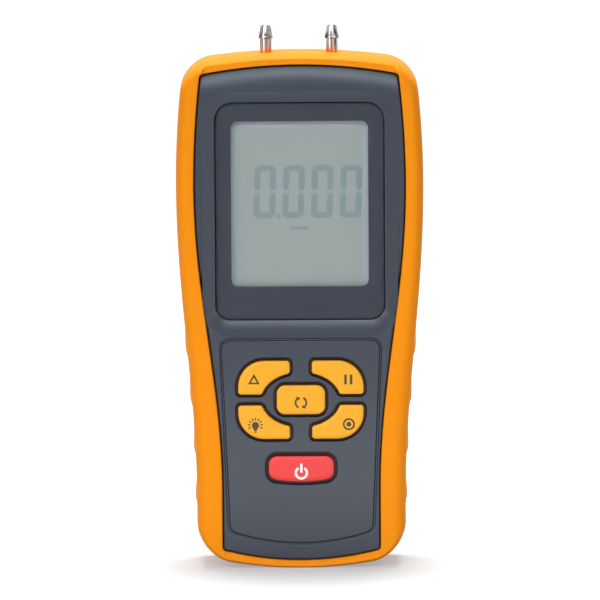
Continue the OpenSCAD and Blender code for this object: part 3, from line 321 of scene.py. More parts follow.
class Outline:
    """A waisted outline from its settings, drawn a distance d further in."""
    # How far a corner's handles reach, the smallest corner, and the share of a long arc at
    # which its last point before the corner lies
    PULL = 0.55
    LEAST = 0.1 * MM
    ARC_END = 0.985

    def __init__(self, s, belly_z, low, high, corners, d=0):
        self.given = (s, belly_z, low, high, corners)
        self.waist, self.belly, self.crown = s.waist - d, s.belly - d, s.crown - d
        self.waist_z, self.belly_z, self.crown_z = s.waist_z, belly_z, s.crown_z
        self.low, self.high = low + d, high - d
        self.low_r, self.high_r = s.bottom_r - d, s.top_r - d
        self.low_corner, self.high_corner = (max(corner - d, self.LEAST) for corner in corners)

    def inset(self, d):
        """The settings' own outline drawn a distance d further in."""
        return Outline(*self.given, d)

    def half_at(self, z):
        """The half width at a height."""
        if z < self.belly_z:
            t = clamp((z - self.waist_z) / (self.belly_z - self.waist_z), 0, 1)
            return mix(self.waist, self.belly, (1 - math.cos(math.pi * t)) / 2)
        t = (z - self.belly_z) / (self.crown_z - self.belly_z)
        return mix(self.belly, self.crown, t * t)

    def low_at(self, x):
        return self.low + self.low_r - math.sqrt(self.low_r ** 2 - x * x)

    def high_at(self, x):
        return self.high - self.high_r + math.sqrt(self.high_r ** 2 - x * x)

    def corner_points(self, p, u, q, v, size, n):
        """A corner's curve, which leaves p along u and comes in to q along v."""
        h = size * self.PULL
        a, b = p + u * h, q - v * h
        for i in range(n + 1):
            t = i / n
            w = 1 - t
            yield p * w ** 3 + a * (3 * w * w * t) + b * (3 * w * t * t) + q * t ** 3

    def right_half(self, n_arc, n_corner, n_side):
        """Points from the bottom's middle to the top's middle. The arcs' last points before
        the corners lie close to them, so that a step can run there."""
        xl = self.half_at(self.low_at(self.half_at(self.low)))
        xh = self.half_at(self.high_at(self.half_at(self.high)))
        z2 = self.low_at(xl) + self.low_corner
        z3 = self.high_at(xh) - self.high_corner
        x1 = xl - self.low_corner
        x4 = xh - self.high_corner
        a1 = math.asin(x1 / self.low_r)
        a4 = math.asin(x4 / self.high_r)
        side2 = Vector((self.half_at(z2 + self.low_corner) - self.half_at(z2), self.low_corner))
        side3 = Vector((self.half_at(z3) - self.half_at(z3 - self.high_corner), self.high_corner))
        shares = [self.ARC_END * (1 - (1 - i / (n_arc - 1)) ** 1.5) for i in range(n_arc)]
        points = [Vector((x1 * t, self.low_at(x1 * t))) for t in shares]
        points += self.corner_points(Vector((x1, self.low_at(x1))),
                                     Vector((math.cos(a1), math.sin(a1))),
                                     Vector((self.half_at(z2), z2)), side2.normalized(),
                                     self.low_corner, n_corner)
        for i in range(1, n_side):
            z = mix(z2, z3, i / n_side)
            points.append(Vector((self.half_at(z), z)))
        points += self.corner_points(Vector((self.half_at(z3), z3)), side3.normalized(),
                                     Vector((x4, self.high_at(x4))),
                                     Vector((-math.cos(a4), math.sin(a4))),
                                     self.high_corner, n_corner)
        points += [Vector((x4 * t, self.high_at(x4 * t))) for t in reversed(shares)]
        return points


def mirrored(half):
    """A whole outline, flat or in space, from its right half, whose first and last points
    lie on the middle."""
    return half + [Vector((-p.x, *p[1:])) for p in half[-2:0:-1]]


def rounded(points, steps):
    """A flat outline whose corners are given as (x, z, radius)."""
    made = []
    count = len(points)
    for i, (x, z, r) in enumerate(points):
        c = Vector((x, z))
        if r <= 0:
            made.append(c)
            continue
        ua = (Vector(points[i - 1][:2]) - c).normalized()
        ub = (Vector(points[(i + 1) % count][:2]) - c).normalized()
        half = math.acos(clamp(ua.dot(ub), -1, 1)) / 2
        middle = c + (ua + ub).normalized() * (r / math.sin(half))
        start = c + ua * (r / math.tan(half)) - middle
        side = ua.x * ub.y - ua.y * ub.x
        sweep = (math.pi - 2 * half) * (1 if side < 0 else -1)
        for k in range(steps + 1):
            turn = Matrix.Rotation(sweep * k / steps, 2)
            made.append(middle + turn @ start)
    return made


def plate(x, z, w, h, r_low, r_high, steps=8):
    """A rectangle about (x, z) with rounded corners."""
    return rounded([(x - w / 2, z - h / 2, r_low), (x + w / 2, z - h / 2, r_low),
                    (x + w / 2, z + h / 2, r_high), (x - w / 2, z + h / 2, r_high)], steps)


# Mesh helpers

class Skin:
    """A skin drawn out ring by ring: each ring is the last one extruded and moved."""

    def __init__(self, bm, points, y=None):
        self.bm = bm
        self.verts = [bm.verts.new(p) for p in self.placed(points, y)]
        self.edges = [bm.edges.new((self.verts[i - 1], v)) for i, v in enumerate(self.verts)]

    @staticmethod
    def placed(points, y):
        """Flat points at one depth, or points in space as they are."""
        return points if y is None else [(p.x, y, p.y) for p in points]

    def to(self, points, y=None):
        """Draws the skin on to another ring."""
        grown = bmesh.ops.extrude_edge_only(self.bm, edges=self.edges)["geom"]
        fresh = {v for v in grown if isinstance(v, bmesh.types.BMVert)}
        self.verts = [next(e.other_vert(v) for e in v.link_edges if e.other_vert(v) in fresh)
                      for v in self.verts]
        for v, spot in zip(self.verts, self.placed(points, y)):
            v.co = spot
        self.edges = [self.bm.edges.get((self.verts[i - 1], v)) for i, v in enumerate(self.verts)]
        return self

    def closed(self):
        """Fills the last ring."""
        fill(self.bm, self.edges)
        return self


def fill(bm, edges):
    """Fills a flat area between closed loops of edges, holes left open."""
    bmesh.ops.triangle_fill(bm, use_beauty=True, use_dissolve=False, edges=list(edges))


def tile(bm, points, y, thickness):
    """A thin flat tile, from one face's depth y and how far back the other one lies."""
    face = bm.faces.new([bm.verts.new((x, y, z)) for x, z in points])
    grown = bmesh.ops.extrude_face_region(bm, geom=[face])["geom"]
    moved = [v for v in grown if isinstance(v, bmesh.types.BMVert)]
    bmesh.ops.translate(bm, verts=moved, vec=(0, thickness, 0))


def in_scene(name, data):
    """An object in the scene, made of a mesh, a lamp or a camera."""
    made = bpy.data.objects.new(name, data)
    bpy.context.scene.collection.objects.link(made)
    return made


def piece(name, bm, body, material, replaced=(), sharp=35):
    """Makes a bmesh a finished piece that rides on a body."""
    bmesh.ops.remove_doubles(bm, verts=bm.verts, dist=TINY)
    bmesh.ops.recalc_face_normals(bm, faces=bm.faces)
    mesh = bpy.data.meshes.new(name)
    bm.to_mesh(mesh)
    bm.free()
    for face in mesh.polygons:
        face.use_smooth = True
    mesh.set_sharp_from_angle(angle=math.radians(sharp))
    mesh.materials.append(material)
    made = in_scene(name, mesh)
    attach(made, body)
    if replaced:
        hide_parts(*replaced)
    return made


def softened(node, name, body, material, width, segments=3):
    """A copy of a CAD node's mesh, merged and with its hard edges rounded."""
    bm = bmesh.new()
    bm.from_mesh(frame["nodes"][node].data)
    bmesh.ops.remove_doubles(bm, verts=bm.verts, dist=TINY)
    # Triangles that lie in one plane become one face
    bmesh.ops.dissolve_limit(bm, angle_limit=math.radians(0.5), verts=bm.verts, edges=bm.edges)
    made = piece(name, bm, body, material, (node,))
    bevel = made.modifiers.new("Soft edges", "BEVEL")
    bevel.width = width
    bevel.segments = segments
    bevel.limit_method = "ANGLE"
    bevel.angle_limit = math.radians(40)
    bevel.harden_normals = True
    return made


# Materials

def feed(tree, node, inputs):
    """Sets a node's inputs, or links them from other sockets."""
    for socket, source in inputs.items():
        if isinstance(source, bpy.types.NodeSocket):
            tree.links.new(source, node.inputs[socket])
        else:
            node.inputs[socket].default_value = source


def add(tree, kind, inputs=None, out=0, **settings):
    """Adds a shader node, sets it up and gives one of its outputs."""
    made = tree.nodes.new("ShaderNode" + kind)
    for key, value in settings.items():
        setattr(made, key, value)
    feed(tree, made, inputs or {})
    return made.outputs[out]


def calc(tree, operation, *values):
    """The result of a math node."""
    return add(tree, "Math", dict(enumerate(values)), operation=operation)


def ramp(tree, value, near, far, start=0.0, end=1.0, **settings):
    """Goes from start to end while a value goes from near to far."""
    return add(tree, "MapRange", {"Value": value, "From Min": near, "From Max": far,
                                  "To Min": start, "To Max": end}, "Result", **settings)


def blend(tree, factor, a, b):
    """A colour between two others."""
    return add(tree, "Mix", {"Factor": factor, "A": a, "B": b}, "Result", data_type="RGBA")


def place(tree):
    """Places in the object's own frame."""
    return add(tree, "TexCoord", out="Object")


def along(tree, axis):
    """How far places lie along an axis of the object's own frame."""
    return add(tree, "SeparateXYZ", {0: place(tree)}, axis)


def node_group(name, inputs, outputs):
    """An empty shader group from its inputs' defaults and its outputs' kinds, with the
    sockets that its inputs come from and the node that its outputs go to."""
    group = bpy.data.node_groups.new(name, "ShaderNodeTree")
    for label, default in inputs.items():
        kind = "NodeSocketColor" if isinstance(default, tuple) else "NodeSocketFloat"
        socket = group.interface.new_socket(label, in_out="INPUT", socket_type=kind)
        socket.default_value = default
    for label, kind in outputs.items():
        group.interface.new_socket(label, in_out="OUTPUT", socket_type="NodeSocket" + kind)
    return group, group.nodes.new("NodeGroupInput").outputs, group.nodes.new("NodeGroupOutput")


def grain_group():
    """Moulded skin: cloudy colour, uneven gloss and a fine grain."""
    name = "Moulded skin"
    if name in bpy.data.node_groups:
        return bpy.data.node_groups[name]
    group, given, out = node_group(
        name, {"Colour": (0.5, 0.5, 0.5, 1), "Clouding": 0.06, "Gloss": 0.4,
               "Gloss spread": 0.06, "Grain scale": 2500.0},
        {"Colour": "Color", "Roughness": "Float", "Height": "Float"})
    where = place(group)
    cloud = add(group, "TexNoise", {"Vector": where, "Scale": 60.0, "Detail": 3.0})
    grain = add(group, "TexNoise", {"Vector": where, "Scale": given["Grain scale"],
                                    "Detail": 2.0})
    centred = calc(group, "SUBTRACT", cloud, 0.5)
    shade = calc(group, "MULTIPLY_ADD", centred, given["Clouding"], 1.0)
    tinted = add(group, "VectorMath", {0: given["Colour"], 1: shade}, operation="MULTIPLY")
    rough = calc(group, "MULTIPLY_ADD", centred, given["Gloss spread"], given["Gloss"])
    feed(group, out, {"Colour": tinted, "Roughness": rough, "Height": grain})
    return group


def painted_well_shade_group():
    """Colour that turns to a painted shade below a depth, standing in for the shade that falls on
    soft rubber down in its well.
    """
    name = "Sunken rubber"
    if name in bpy.data.node_groups:
        return bpy.data.node_groups[name]
    group, given, out = node_group(
        name, {"Colour": (0.5, 0.5, 0.5, 1), "Painted shade colour": (0, 0, 0, 1), "Start": 0.0,
               "End": 0.001}, {"Colour": "Color"})
    # Painted shade: the deeper in the well, the more of the shade colour
    deep = ramp(group, along(group, "Y"), given["Start"], given["End"])
    feed(group, out, {"Colour": blend(group, deep, given["Colour"], given["Painted shade colour"])})
    return group


def new_material(name):
    """A new material, its node tree and its surface shader."""
    made = bpy.data.materials.new(name)
    made.use_nodes = True
    return made, made.node_tree, made.node_tree.nodes["Principled BSDF"]


def moulded(name, tint, roughness, spread=0.1, clouding=0.04, scale=3000.0, bump=0.03,
            **shader):
    """A moulded plastic or rubber with its own values of the shared skin."""
    if name in bpy.data.materials:
        return bpy.data.materials[name]
    made, tree, surface = new_material(name)
    skin = add(tree, "Group", {"Colour": (*tint, 1), "Clouding": clouding, "Gloss": roughness,
                               "Gloss spread": spread, "Grain scale": scale},
               node_tree=grain_group()).node.outputs
    feed(tree, surface, {"Base Color": skin["Colour"], "Roughness": skin["Roughness"]})
    if bump:
        relief = add(tree, "Bump", {"Height": skin["Height"], "Strength": bump,
                                    "Distance": 0.1 * MM})
        feed(tree, surface, {"Normal": relief})
    feed(tree, surface, {key.replace("_", " "): value for key, value in shader.items()})
    return made


def recoloured(made, change):
    """A material whose colour is what a function makes of its plain one."""
    surface = made.node_tree.nodes["Principled BSDF"]
    plain = surface.inputs["Base Color"].links[0].from_socket
    feed(made.node_tree, surface, {"Base Color": change(plain)})
    return made


BLACKENED = (0.05, 0.05, 0.055)
ZINC = (0.55, 0.55, 0.57)
ACRYLIC = (0.9, 0.92, 0.92)
# Painted reflection of the orange rubber on metal close to it
PAINTED_RUBBER_REFLECTION = (0.62, 0.19, 0.06, 1)
# How tightly the noise of turned metal's rings and of its painted reflection streaks is drawn
# along each axis
RING_SCALE = (120, 120, 9000)
REFLECTION_STREAK_SCALE = (1100, 1100, 30)


def turned_metal(name, tint, roughness, reflection_streaks=0.0, painted_reflection_z=0.0):
    """Turned and plated metal with fine rings round its axis, painted reflection streaks, darker
    and lighter, along it and, up to the height painted_reflection_z, a painted reflection of the
    orange rubber round it."""
    if name in bpy.data.materials:
        return bpy.data.materials[name]
    made, tree, surface = new_material(name)
    where = place(tree)
    flat = add(tree, "Mapping", {"Vector": where, "Scale": RING_SCALE})
    rings = add(tree, "TexNoise", {"Vector": flat, "Scale": 1.0})
    # Painted reflection streaks: noise drawn out along the axis makes the base colour darker and
    # lighter
    drawn = add(tree, "Mapping", {"Vector": where, "Scale": REFLECTION_STREAK_SCALE})
    bands = add(tree, "TexNoise", {"Vector": drawn, "Scale": 1.0, "Detail": 1.0})
    level = ramp(tree, bands, 0.38, 0.62, 1 - reflection_streaks, 1 + 3 * reflection_streaks)
    shade = add(tree, "VectorMath", {0: tint, 1: level}, operation="MULTIPLY")
    # Painted reflection: below painted_reflection_z the metal takes on the orange rubber's colour
    near = ramp(tree, along(tree, "Z"), painted_reflection_z - 2.4 * MM, painted_reflection_z, 0.7, 0.0)
    relief = add(tree, "Bump", {"Height": rings, "Strength": 0.05, "Distance": 0.05 * MM})
    feed(tree, surface, {"Base Color": blend(tree, near, shade, PAINTED_RUBBER_REFLECTION),
                         "Metallic": 1.0, "Normal": relief,
                         "Roughness": calc(tree, "MULTIPLY_ADD", rings, 0.16,
                                           roughness - 0.08)})
    return made


def clear_glass(name, tint):
    """Clear acrylic that lets lamps shine through onto what lies behind it."""
    made, tree, surface = new_material(name)
    haze = add(tree, "TexNoise", {"Vector": place(tree), "Scale": 90.0, "Detail": 2.0})
    shadow = add(tree, "LightPath", out="Is Shadow Ray")
    feed(tree, surface, {"Base Color": (*tint, 1), "Transmission Weight": 1.0, "IOR": 1.08,
                         "Roughness": calc(tree, "MULTIPLY_ADD", haze, 0.02, 0.01),
                         "Alpha": calc(tree, "SUBTRACT", 1.0, shadow)})
    return made


def housing(tint):
    """The plastic of the back panel and the battery door."""
    return moulded("Housing plastic", tint, 0.5, 0.14, 0.05, 3200.0, 0.06,
                   Specular_IOR_Level=0.32)


# Outlines of the meter's pieces

def boot_outline(s):
    return Outline(s, s.belly_z, -s.foot_cut, BOOT_HIGH.z, (s.bottom_corner, s.top_corner))


def panel_outline(scene):
    s = scene.manometer_panel
    return Outline(s, scene.manometer_boot.belly_z, s.low_rim, BOOT_HIGH.z - s.high_rim,
                   (s.corner, s.corner))


def lens_outline(s, d):
    """The lens's outline, d further in than its edge."""
    middle = (LENS_LOW + LENS_HIGH) / 2
    size = LENS_HIGH - LENS_LOW
    return plate(0, middle.z, size.x - 2 * d, size.z - 2 * d,
                 max(s.lens_low_r - d, Outline.LEAST), max(s.lens_top_r - d, Outline.LEAST))


def window_outline(s, d):
    r = max(s.window_r - d, Outline.LEAST)
    return plate(0, s.window_z, s.window_w - 2 * d, s.window_h - 2 * d, r, r)


def sagging(low, top, z0, z1, sag, r, steps):
    """A shape from its half widths at the foot and at the top, whose foot sags."""
    shares = [mix(-1, 1, k / (steps + 1)) for k in range(1, steps + 1)]
    return rounded([(-low, z0 + sag, r)] + [(t * low, z0 + sag * t * t, 0) for t in shares]
                   + [(low, z0 + sag, r), (top, z1, r), (-top, z1, r)], 8)


def field_outline(s, d):
    """The raised field round the keys, d further in than its edge."""
    return sagging(s.field_low_half - d, s.field_top_half - d, s.field_low + d,
                   s.field_top - d, s.field_sag, s.field_r - d, 11)


def corner_key_outline(s, d, flip, drop):
    """A corner key's outline, d further in than its edge. It is the upper right key's,
    turned over sideways with flip at -1 and upside down with drop at -1."""
    u0, u1, v0, v1 = s.inner + d, s.outer - d, s.low + d, s.high - d
    a, b, r = s.hollow_a + d, s.hollow_b + d, max(s.corner - d, Outline.LEAST)
    high = math.acos(u0 / a)
    low = math.asin(v0 / b)
    steps = 9
    hollow = [mix(high, low, k / (steps + 1)) for k in range(1, steps + 1)]
    points = rounded([(u1, v0, r), (u1, v1, s.round - d), (u0, v1, r),
                      (u0, b * math.sin(high), r)]
                     + [(a * math.cos(t), b * math.sin(t), 0) for t in hollow]
                     + [(a * math.cos(low), v0, r)], 10)
    return [Vector((flip * p.x, s.middle_z + drop * p.y)) for p in points]


CORNERS = {"dif": (-1, 1), "hold": (1, 1), "light": (-1, -1), "rec": (1, -1)}
KEYS = [*CORNERS, "units", "power"]


def key_outline(s, key, d):
    """A key's outline, d further in than its edge."""
    if key in CORNERS:
        return corner_key_outline(s, d, *CORNERS[key])
    if key == "units":
        return plate(0, s.middle_z, s.units_w - 2 * d, s.units_h - 2 * d, s.units_r - d,
                     s.units_r - d)
    w = s.power_w / 2 - d
    return sagging(w, w, s.power_z - s.power_h / 2 + d, s.power_z + s.power_h / 2 - d,
                   s.power_sag, s.power_r - d, 7)


# Operators

class MANOMETER_OT_boot(bpy.types.Operator):
    """Sweep the rubber boot's skin with its rolled rims and grip bumps"""
    bl_idname = "manometer.boot"
    bl_label = "Rubber boot"

    # Points along half of an arc, round a corner and along a side
    COUNTS = (16, 14, 110)
    # Shares of the rim's width at which the rails, the top and the bottom reach their crest
    RAIL_CREST = 0.58
    TOP_CREST = 0.9
    LOW_CREST = 0.4
    # Power of the rim's curve, and share of its width that the opening's edge takes
    POWER = 0.82
    EDGE = 0.07
    # Share of the width at which the roll over the outer side begins
    SHOULDER = 0.62
    STEPS = 18
    # Rings between the bumps' ends, as depths, and the back rim's inner edge, as shares of
    # the width and falls, in millimetres
    SIDE_RINGS = (-5, 0, 5)
    BACK_EDGE = ((0.8, 0), (0.93, 0), (0.965, 0.08), (0.99, 0.3), (1, 0.6))
    # Heights over which the rails turn into the bottom band and into the top band
    LOW_TURN = 8 * MM
    TOP_TURN = 12 * MM
    # Fall of the opening's edge along the rails and the bands, and slope of the rails
    RAIL_FALL = 0.6 * MM
    BAND_FALL = 0.35 * MM
    RAIL_SLOPE = 0.15 * MM

    def execute(self, context):
        s = context.scene.manometer_boot
        self.s = s
        self.outer = boot_outline(s).right_half(*self.COUNTS)
        self.inner = panel_outline(context.scene).right_half(*self.COUNTS)
        arcs, corners, side = self.COUNTS
        self.side_from = arcs + corners
        self.top_from = arcs + 2 * corners + side + 1
        wall = boot_outline(s).inset(s.wall).right_half(*self.COUNTS)
        cavity = mirrored([Vector((p.x, max(p.y, 0))) for p in wall])
        rolls = [1 - math.cos(math.pi / 2 * k / self.STEPS) for k in range(self.STEPS + 1)]
        bm = bmesh.new()
        skin = Skin(bm, self.ring(1, -s.lip_y))
        first = skin.edges
        for wide, sunk in reversed(quarter()):
            skin.to(self.rim(1 - self.EDGE * wide, sunk))
        for k in range(1, 6):
            skin.to(self.rim(mix(1 - self.EDGE, self.SHOULDER, k / 6)))
        for t in reversed(rolls):
            skin.to(self.rim(self.SHOULDER * t))
        span = s.hug_y - s.grip_y
        grip = [(-s.hug_y + span * k / 4, ease(k / 4)) for k in range(1, 5)]
        grip += [(y * MM, 1) for y in self.SIDE_RINGS]
        for y, bump in grip + [(-y, bump) for y, bump in reversed(grip[:4])]:
            skin.to(self.ring(0, lambda i, p: y * self.side_at(p) / s.hug_y, bump))
        for t in [self.SHOULDER * t for t in rolls]:
            skin.to(self.ring(t, lambda i, p: self.curve(t, self.SHOULDER, self.side_at(p),
                                                         BOOT_HIGH.y)))
        for t, sunk in self.BACK_EDGE:
            skin.to(self.ring(t, BOOT_HIGH.y - sunk * MM))
        skin.to(self.ring(1, s.lip_y))
        skin.to(cavity, s.lip_y)
        skin.to(cavity, -s.lip_y)
        bmesh.ops.bridge_loops(bm, edges=skin.edges + first)
        material = moulded("Orange rubber", s.tint, 0.5, scale=2200.0, bump=0.04,
                           Specular_IOR_Level=0.07)
        piece("boot_skin", bm, "meter", material, ("boot",), 50)
        return {"FINISHED"}

    def curve(self, t, end, side, crest):
        """Depth at share t of a roll that reaches its crest at share end."""
        reach = clamp(1 - t / end, 0, 1)
        return side + (crest - side) * math.sin(math.acos(reach)) ** self.POWER

    def top_share(self, p):
        """0 along the sides and 1 along the top, with a soft change round the corners."""
        return ease((p.y - self.outer[self.top_from - 1].y) / self.TOP_TURN + 1)

    def side_at(self, p):
        """Depth to which the outside runs straight before it rolls over."""
        return mix(self.s.hug_y, self.s.top_y, self.top_share(p))

    def ring(self, t, depth, bump=0):
        """One ring of the skin at share t of the rim's width. Its depth may depend on the
        place along the outline."""
        half = []
        for i, (a, b) in enumerate(zip(self.outer, self.inner)):
            p = a.lerp(b, t)
            y = depth(i, p) if callable(depth) else depth
            out = bump * self.bump_at(p.y) if i > self.side_from else 0
            half.append(Vector((p.x + out, y, max(p.y, 0))))
        return mirrored(half)

    def rim(self, t, sunk=0):
        """A ring of the front rim. The rails turn into the rounder top and the flatter
        bottom round the corners, and end in a step that fades outwards."""
        s = self.s
        low_corner, corners = self.COUNTS[:2]
        top_corner = self.top_from - 1
        # The step grows from the outer side on, and is soft there and sharp at the opening
        fade = ease((t - 0.25) / 0.5)
        width = mix(4, 0.6, ease((t - 0.2) / 0.6)) * MM

        def depth(i, p):
            low = ease((self.outer[self.side_from].y - p.y) / self.LOW_TURN)
            end = (mix(self.RAIL_CREST, self.TOP_CREST, self.top_share(p))
                   + (self.LOW_CREST - self.RAIL_CREST) * low)
            y = self.curve(t, end, -self.side_at(p), BOOT_LOW.y)
            banded = 0
            if i < low_corner + corners or i > top_corner - corners:
                high = i > top_corner - corners
                crease = self.inner[top_corner if high else low_corner].x
                banded = ease((crease - p.x) / width + 0.5)
                y += fade * banded * (s.top_step if high else s.low_step)
            y += (1 - banded) * self.RAIL_SLOPE * clamp((t - end) / (1 - end), 0, 1) ** 2
            return y + sunk * mix(self.RAIL_FALL, self.BAND_FALL, banded)
        return self.ring(t, depth)

    def bump_at(self, z):
        """How far the side stands proud at a height."""
        s = self.s
        out = 0
        for k in range(s.bumps):
            off = z - s.bump_z - k * s.bump_pitch
            reach = s.bump_rise if off > 0 else s.bump_fall
            if abs(off) < reach:
                out = max(out, s.bump_h * math.cos(math.pi / 2 * off / reach) ** 2)
        return out


class MANOMETER_OT_front_panel(bpy.types.Operator):
    """Model the front panel with its lens frame, key field and key openings"""
    bl_idname = "manometer.front_panel"
    bl_label = "Front panel"

    COUNTS = (14, 6, 80)
    WALL = 2 * MM
    # Where the flat of the lens frame's slope begins outside the lens, rounding of the
    # opening's edge, and height over which the soft rounding under the lens fades out
    FRAME_NEAR = 0.7 * MM
    LENS_EDGE = 0.4 * MM
    CHIN_FADE = 4.5 * MM
    # How far the hole in the ledge keeps clear of the window
    LEDGE_IN = 1.2 * MM
    # The raised strip between the lens and the key field: how far it begins below the
    # field's top, its height, and the height of the part that is cut into strips
    STRIP_BELOW = 10 * MM
    STRIP_H = 24 * MM
    STRIP_CUT_H = 22 * MM
    # Profile of the groove round the key field: distance inwards and share of its depth
    GROOVE = ((-0.6, 0.0), (-0.5, 0.06), (-0.4, 0.28), (-0.3, 0.65), (-0.2, 0.94), (-0.1, 1.0),
              (0.0, 1.0), (0.1, 0.86))
    # Past the groove's floor: distance inwards and share of the rise to the field
    RISE = ((0.2, 0.25), (0.3, 0.6), (0.4, 0.84), (0.5, 0.96), (0.62, 1.0), (0.75, 1.0))

    def execute(self, context):
        scene = context.scene
        s, d, k = scene.manometer_panel, scene.manometer_display, scene.manometer_keys
        self.s, self.d = s, d
        spec = panel_outline(scene)
        self.half_at = spec.inset(s.gap).half_at
        self.crest = CASE_LOW.y
        self.face = self.crest + s.rise
        self.foot = s.field_top - self.STRIP_BELOW
        bm = bmesh.new()
        front, back = self.shell(bm, spec)
        lens_front, lens_back = self.lens_opening(bm)
        field_front, wells_back = self.key_field(bm, k)
        fill(bm, front + lens_front + field_front)
        fill(bm, back + lens_back + wells_back)
        self.shape_face(bm, spec.inset(s.gap))
        material = moulded("Panel plastic", s.tint, 0.3, 0.08, 0.05, 3200.0,
                           Specular_IOR_Level=0.47)
        piece("front_panel", bm, "meter", material, ("front_case",), 40)
        return {"FINISHED"}

    def shell(self, bm, spec):
        """The panel's edge and skirt."""
        s = self.s

        def outer(d):
            return mirrored(spec.inset(s.gap + d).right_half(*self.COUNTS))

        skirt = Skin(bm, outer(self.WALL), -s.inner_y)
        back = skirt.edges
        skirt.to(outer(self.WALL), -s.skirt_y).to(outer(0), -s.skirt_y)
        skirt.to(outer(0), self.face + 2 * s.edge)
        for wide, deep in reversed(quarter()):
            skirt.to(outer(s.edge * wide), self.face + s.edge * deep)
        skirt.to(outer(s.edge * 1.3), self.face)
        return skirt.edges, back

    def lens_opening(self, bm):
        """The frame's slope, the soft edge of the opening and the ledge behind it."""
        s, d = self.s, self.d

        def slope(t):
            """A ring at share t of the slope, drawn wider under the lens."""
            outer, chin = (lens_outline(d, mix(-a, -b, t)) for a, b in
                           ((s.frame_w, self.FRAME_NEAR),
                            (s.chin_r + 0.8 * MM, s.chin_r + 0.3 * MM)))
            return [p.lerp(q, self.chin_share(p)) for p, q in zip(outer, chin)]

        # The first ring lies a little outside the slope and keeps the face flat up to it
        frame = Skin(bm, slope(-0.08), self.face)
        front = frame.edges
        for k in range(11):
            y = mix(self.face, self.crest, ease(k / 10))
            frame.to([Vector((p.x, mix(y, self.crest, self.lift(p.x, p.y)), p.y))
                      for p in slope(k / 10)])
        edge = quarter()
        for k, (wide, deep) in enumerate(edge):
            out = 1 - k / (len(edge) - 1)
            places = []
            for p, q in zip(lens_outline(d, -d.lens_gap - self.LENS_EDGE * wide),
                            lens_outline(d, -d.lens_gap - s.chin_r * out)):
                chin = self.chin_share(p)
                spot = p.lerp(q, chin)
                sunk = mix(self.LENS_EDGE * deep, s.chin_d * (1 - out) ** 1.8, chin)
                places.append(Vector((spot.x, self.crest + sunk, spot.y)))
            frame.to(places)
        frame.to(lens_outline(d, -d.lens_gap), TAPE_Y)
        return front, self.ledge(bm, frame)

    def ledge(self, bm, frame):
        """The ledge that carries the lens, with the hole in it and the wall behind it."""
        s, d = self.s, self.d
        boss = Skin(bm, lens_outline(d, -self.WALL), -s.inner_y)
        back = boss.edges
        boss.to(lens_outline(d, -self.WALL), -d.ledge_back)
        hole = window_outline(d, -self.LEDGE_IN)
        rim = Skin(bm, hole, -d.ledge_back)
        fill(bm, boss.edges + rim.edges)
        rim.to(hole, TAPE_Y)
        fill(bm, frame.edges + rim.edges)
        return back

    def chin_share(self, p):
        """How much of the soft rounding under the lens a point near its edge takes."""
        return ease((LENS_LOW.z + self.CHIN_FADE - p.y) / self.CHIN_FADE)

    def key_field(self, bm, k):
        """The groove round the key field, the field and the openings for the keys."""
        s = self.s
        field = Skin(bm, field_outline(s, -0.7 * MM), self.face)
        front = field.edges
        for d, deep in self.GROOVE:
            field.to(field_outline(s, d * MM), self.face + s.groove * deep)
        for d, up in self.RISE:
            field.to(field_outline(s, d * MM), mix(self.face + s.groove, self.crest, up))
        top, back = list(field.edges), []
        for key in KEYS:
            gap = k.gap + (k.power_gap if key == "power" else 0)
            well = Skin(bm, key_outline(k, key, -gap - k.ease * 1.2), self.crest)
            top += well.edges
            for wide, deep in quarter():
                well.to(key_outline(k, key, -gap - k.ease * wide), self.crest + k.ease * deep)
            well.to(key_outline(k, key, -gap), -s.inner_y)
            back += well.edges
        fill(bm, top)
        return front, back

    def shape_face(self, bm, spec):
        """Cuts the flat face into strips, rolls its top back in an arc and lifts the strip
        between the lens and the key field."""
        s = self.s
        start = spec.high_at(spec.crown) - s.roll_h
        foot = self.foot
        bands = ((start, 1, spec.high, 24),
                 (foot, foot + self.STRIP_H, foot + self.STRIP_CUT_H, 22))
        for low, high, top, count in bands:
            for k in range(count):
                z = mix(low, top, (k + 0.5) / count)
                self.slice(bm, (0, 0, z), (0, 0, 1), low, high)
        for low, high, *_ in bands:
            for k in range(1, 40):
                x = mix(-spec.belly, spec.belly, k / 40)
                self.slice(bm, (x, 0, 0), (1, 0, 0), low, high)
        radius = (s.roll_h ** 2 + s.roll_d ** 2) / (2 * s.roll_d)
        for v in bm.verts:
            x, y, z = v.co
            if y > self.face + 2.5 * s.edge or z < foot:
                continue
            reach = s.roll_h - (spec.high_at(x) - z)
            if reach > 0:
                v.co.y += radius - math.sqrt(radius ** 2 - min(reach, s.roll_h) ** 2)
            if abs(y - self.face) < TINY and z < start:
                v.co.y = mix(y, self.crest, self.lift(x, z))

    def lift(self, x, z):
        """How far the strip between the lens and the key field is raised at a place. It
        fades out over 8 mm at its foot, 6 mm at the lens and 2.5 mm at the sides."""
        return (ease((z - self.foot) / (8 * MM)) * ease((LENS_LOW.z + 4 * MM - z) / (6 * MM))
                * ease((self.half_at(z) - abs(x)) / (2.5 * MM)))

    def slice(self, bm, spot, normal, low, high):
        """Cuts the flat faces of the front between two heights with a plane."""
        flat = [f for f in bm.faces if low - 6 * MM < f.calc_center_median().z < high
                and all(abs(v.co.y - self.face) < TINY for v in f.verts)]
        geom = set(flat)
        for f in flat:
            geom.update(f.edges)
            geom.update(f.verts)
        bmesh.ops.bisect_plane(bm, geom=list(geom), dist=TINY / 10, plane_co=spot,
                               plane_no=normal)


class MANOMETER_OT_back_panel(bpy.types.Operator):
    """Round the edges of the back panel and dress its screws"""
    bl_idname = "manometer.back_panel"
    bl_label = "Back panel"

    def execute(self, context):
        softened("rear_case", "back_panel", "meter",
                 housing(context.scene.manometer_panel.tint), 0.25 * MM)
        steel = turned_metal("Black screw", BLACKENED, 0.4)
        softened("case_screws", "back_screws", "meter", steel, 0.12 * MM)
        return {"FINISHED"}


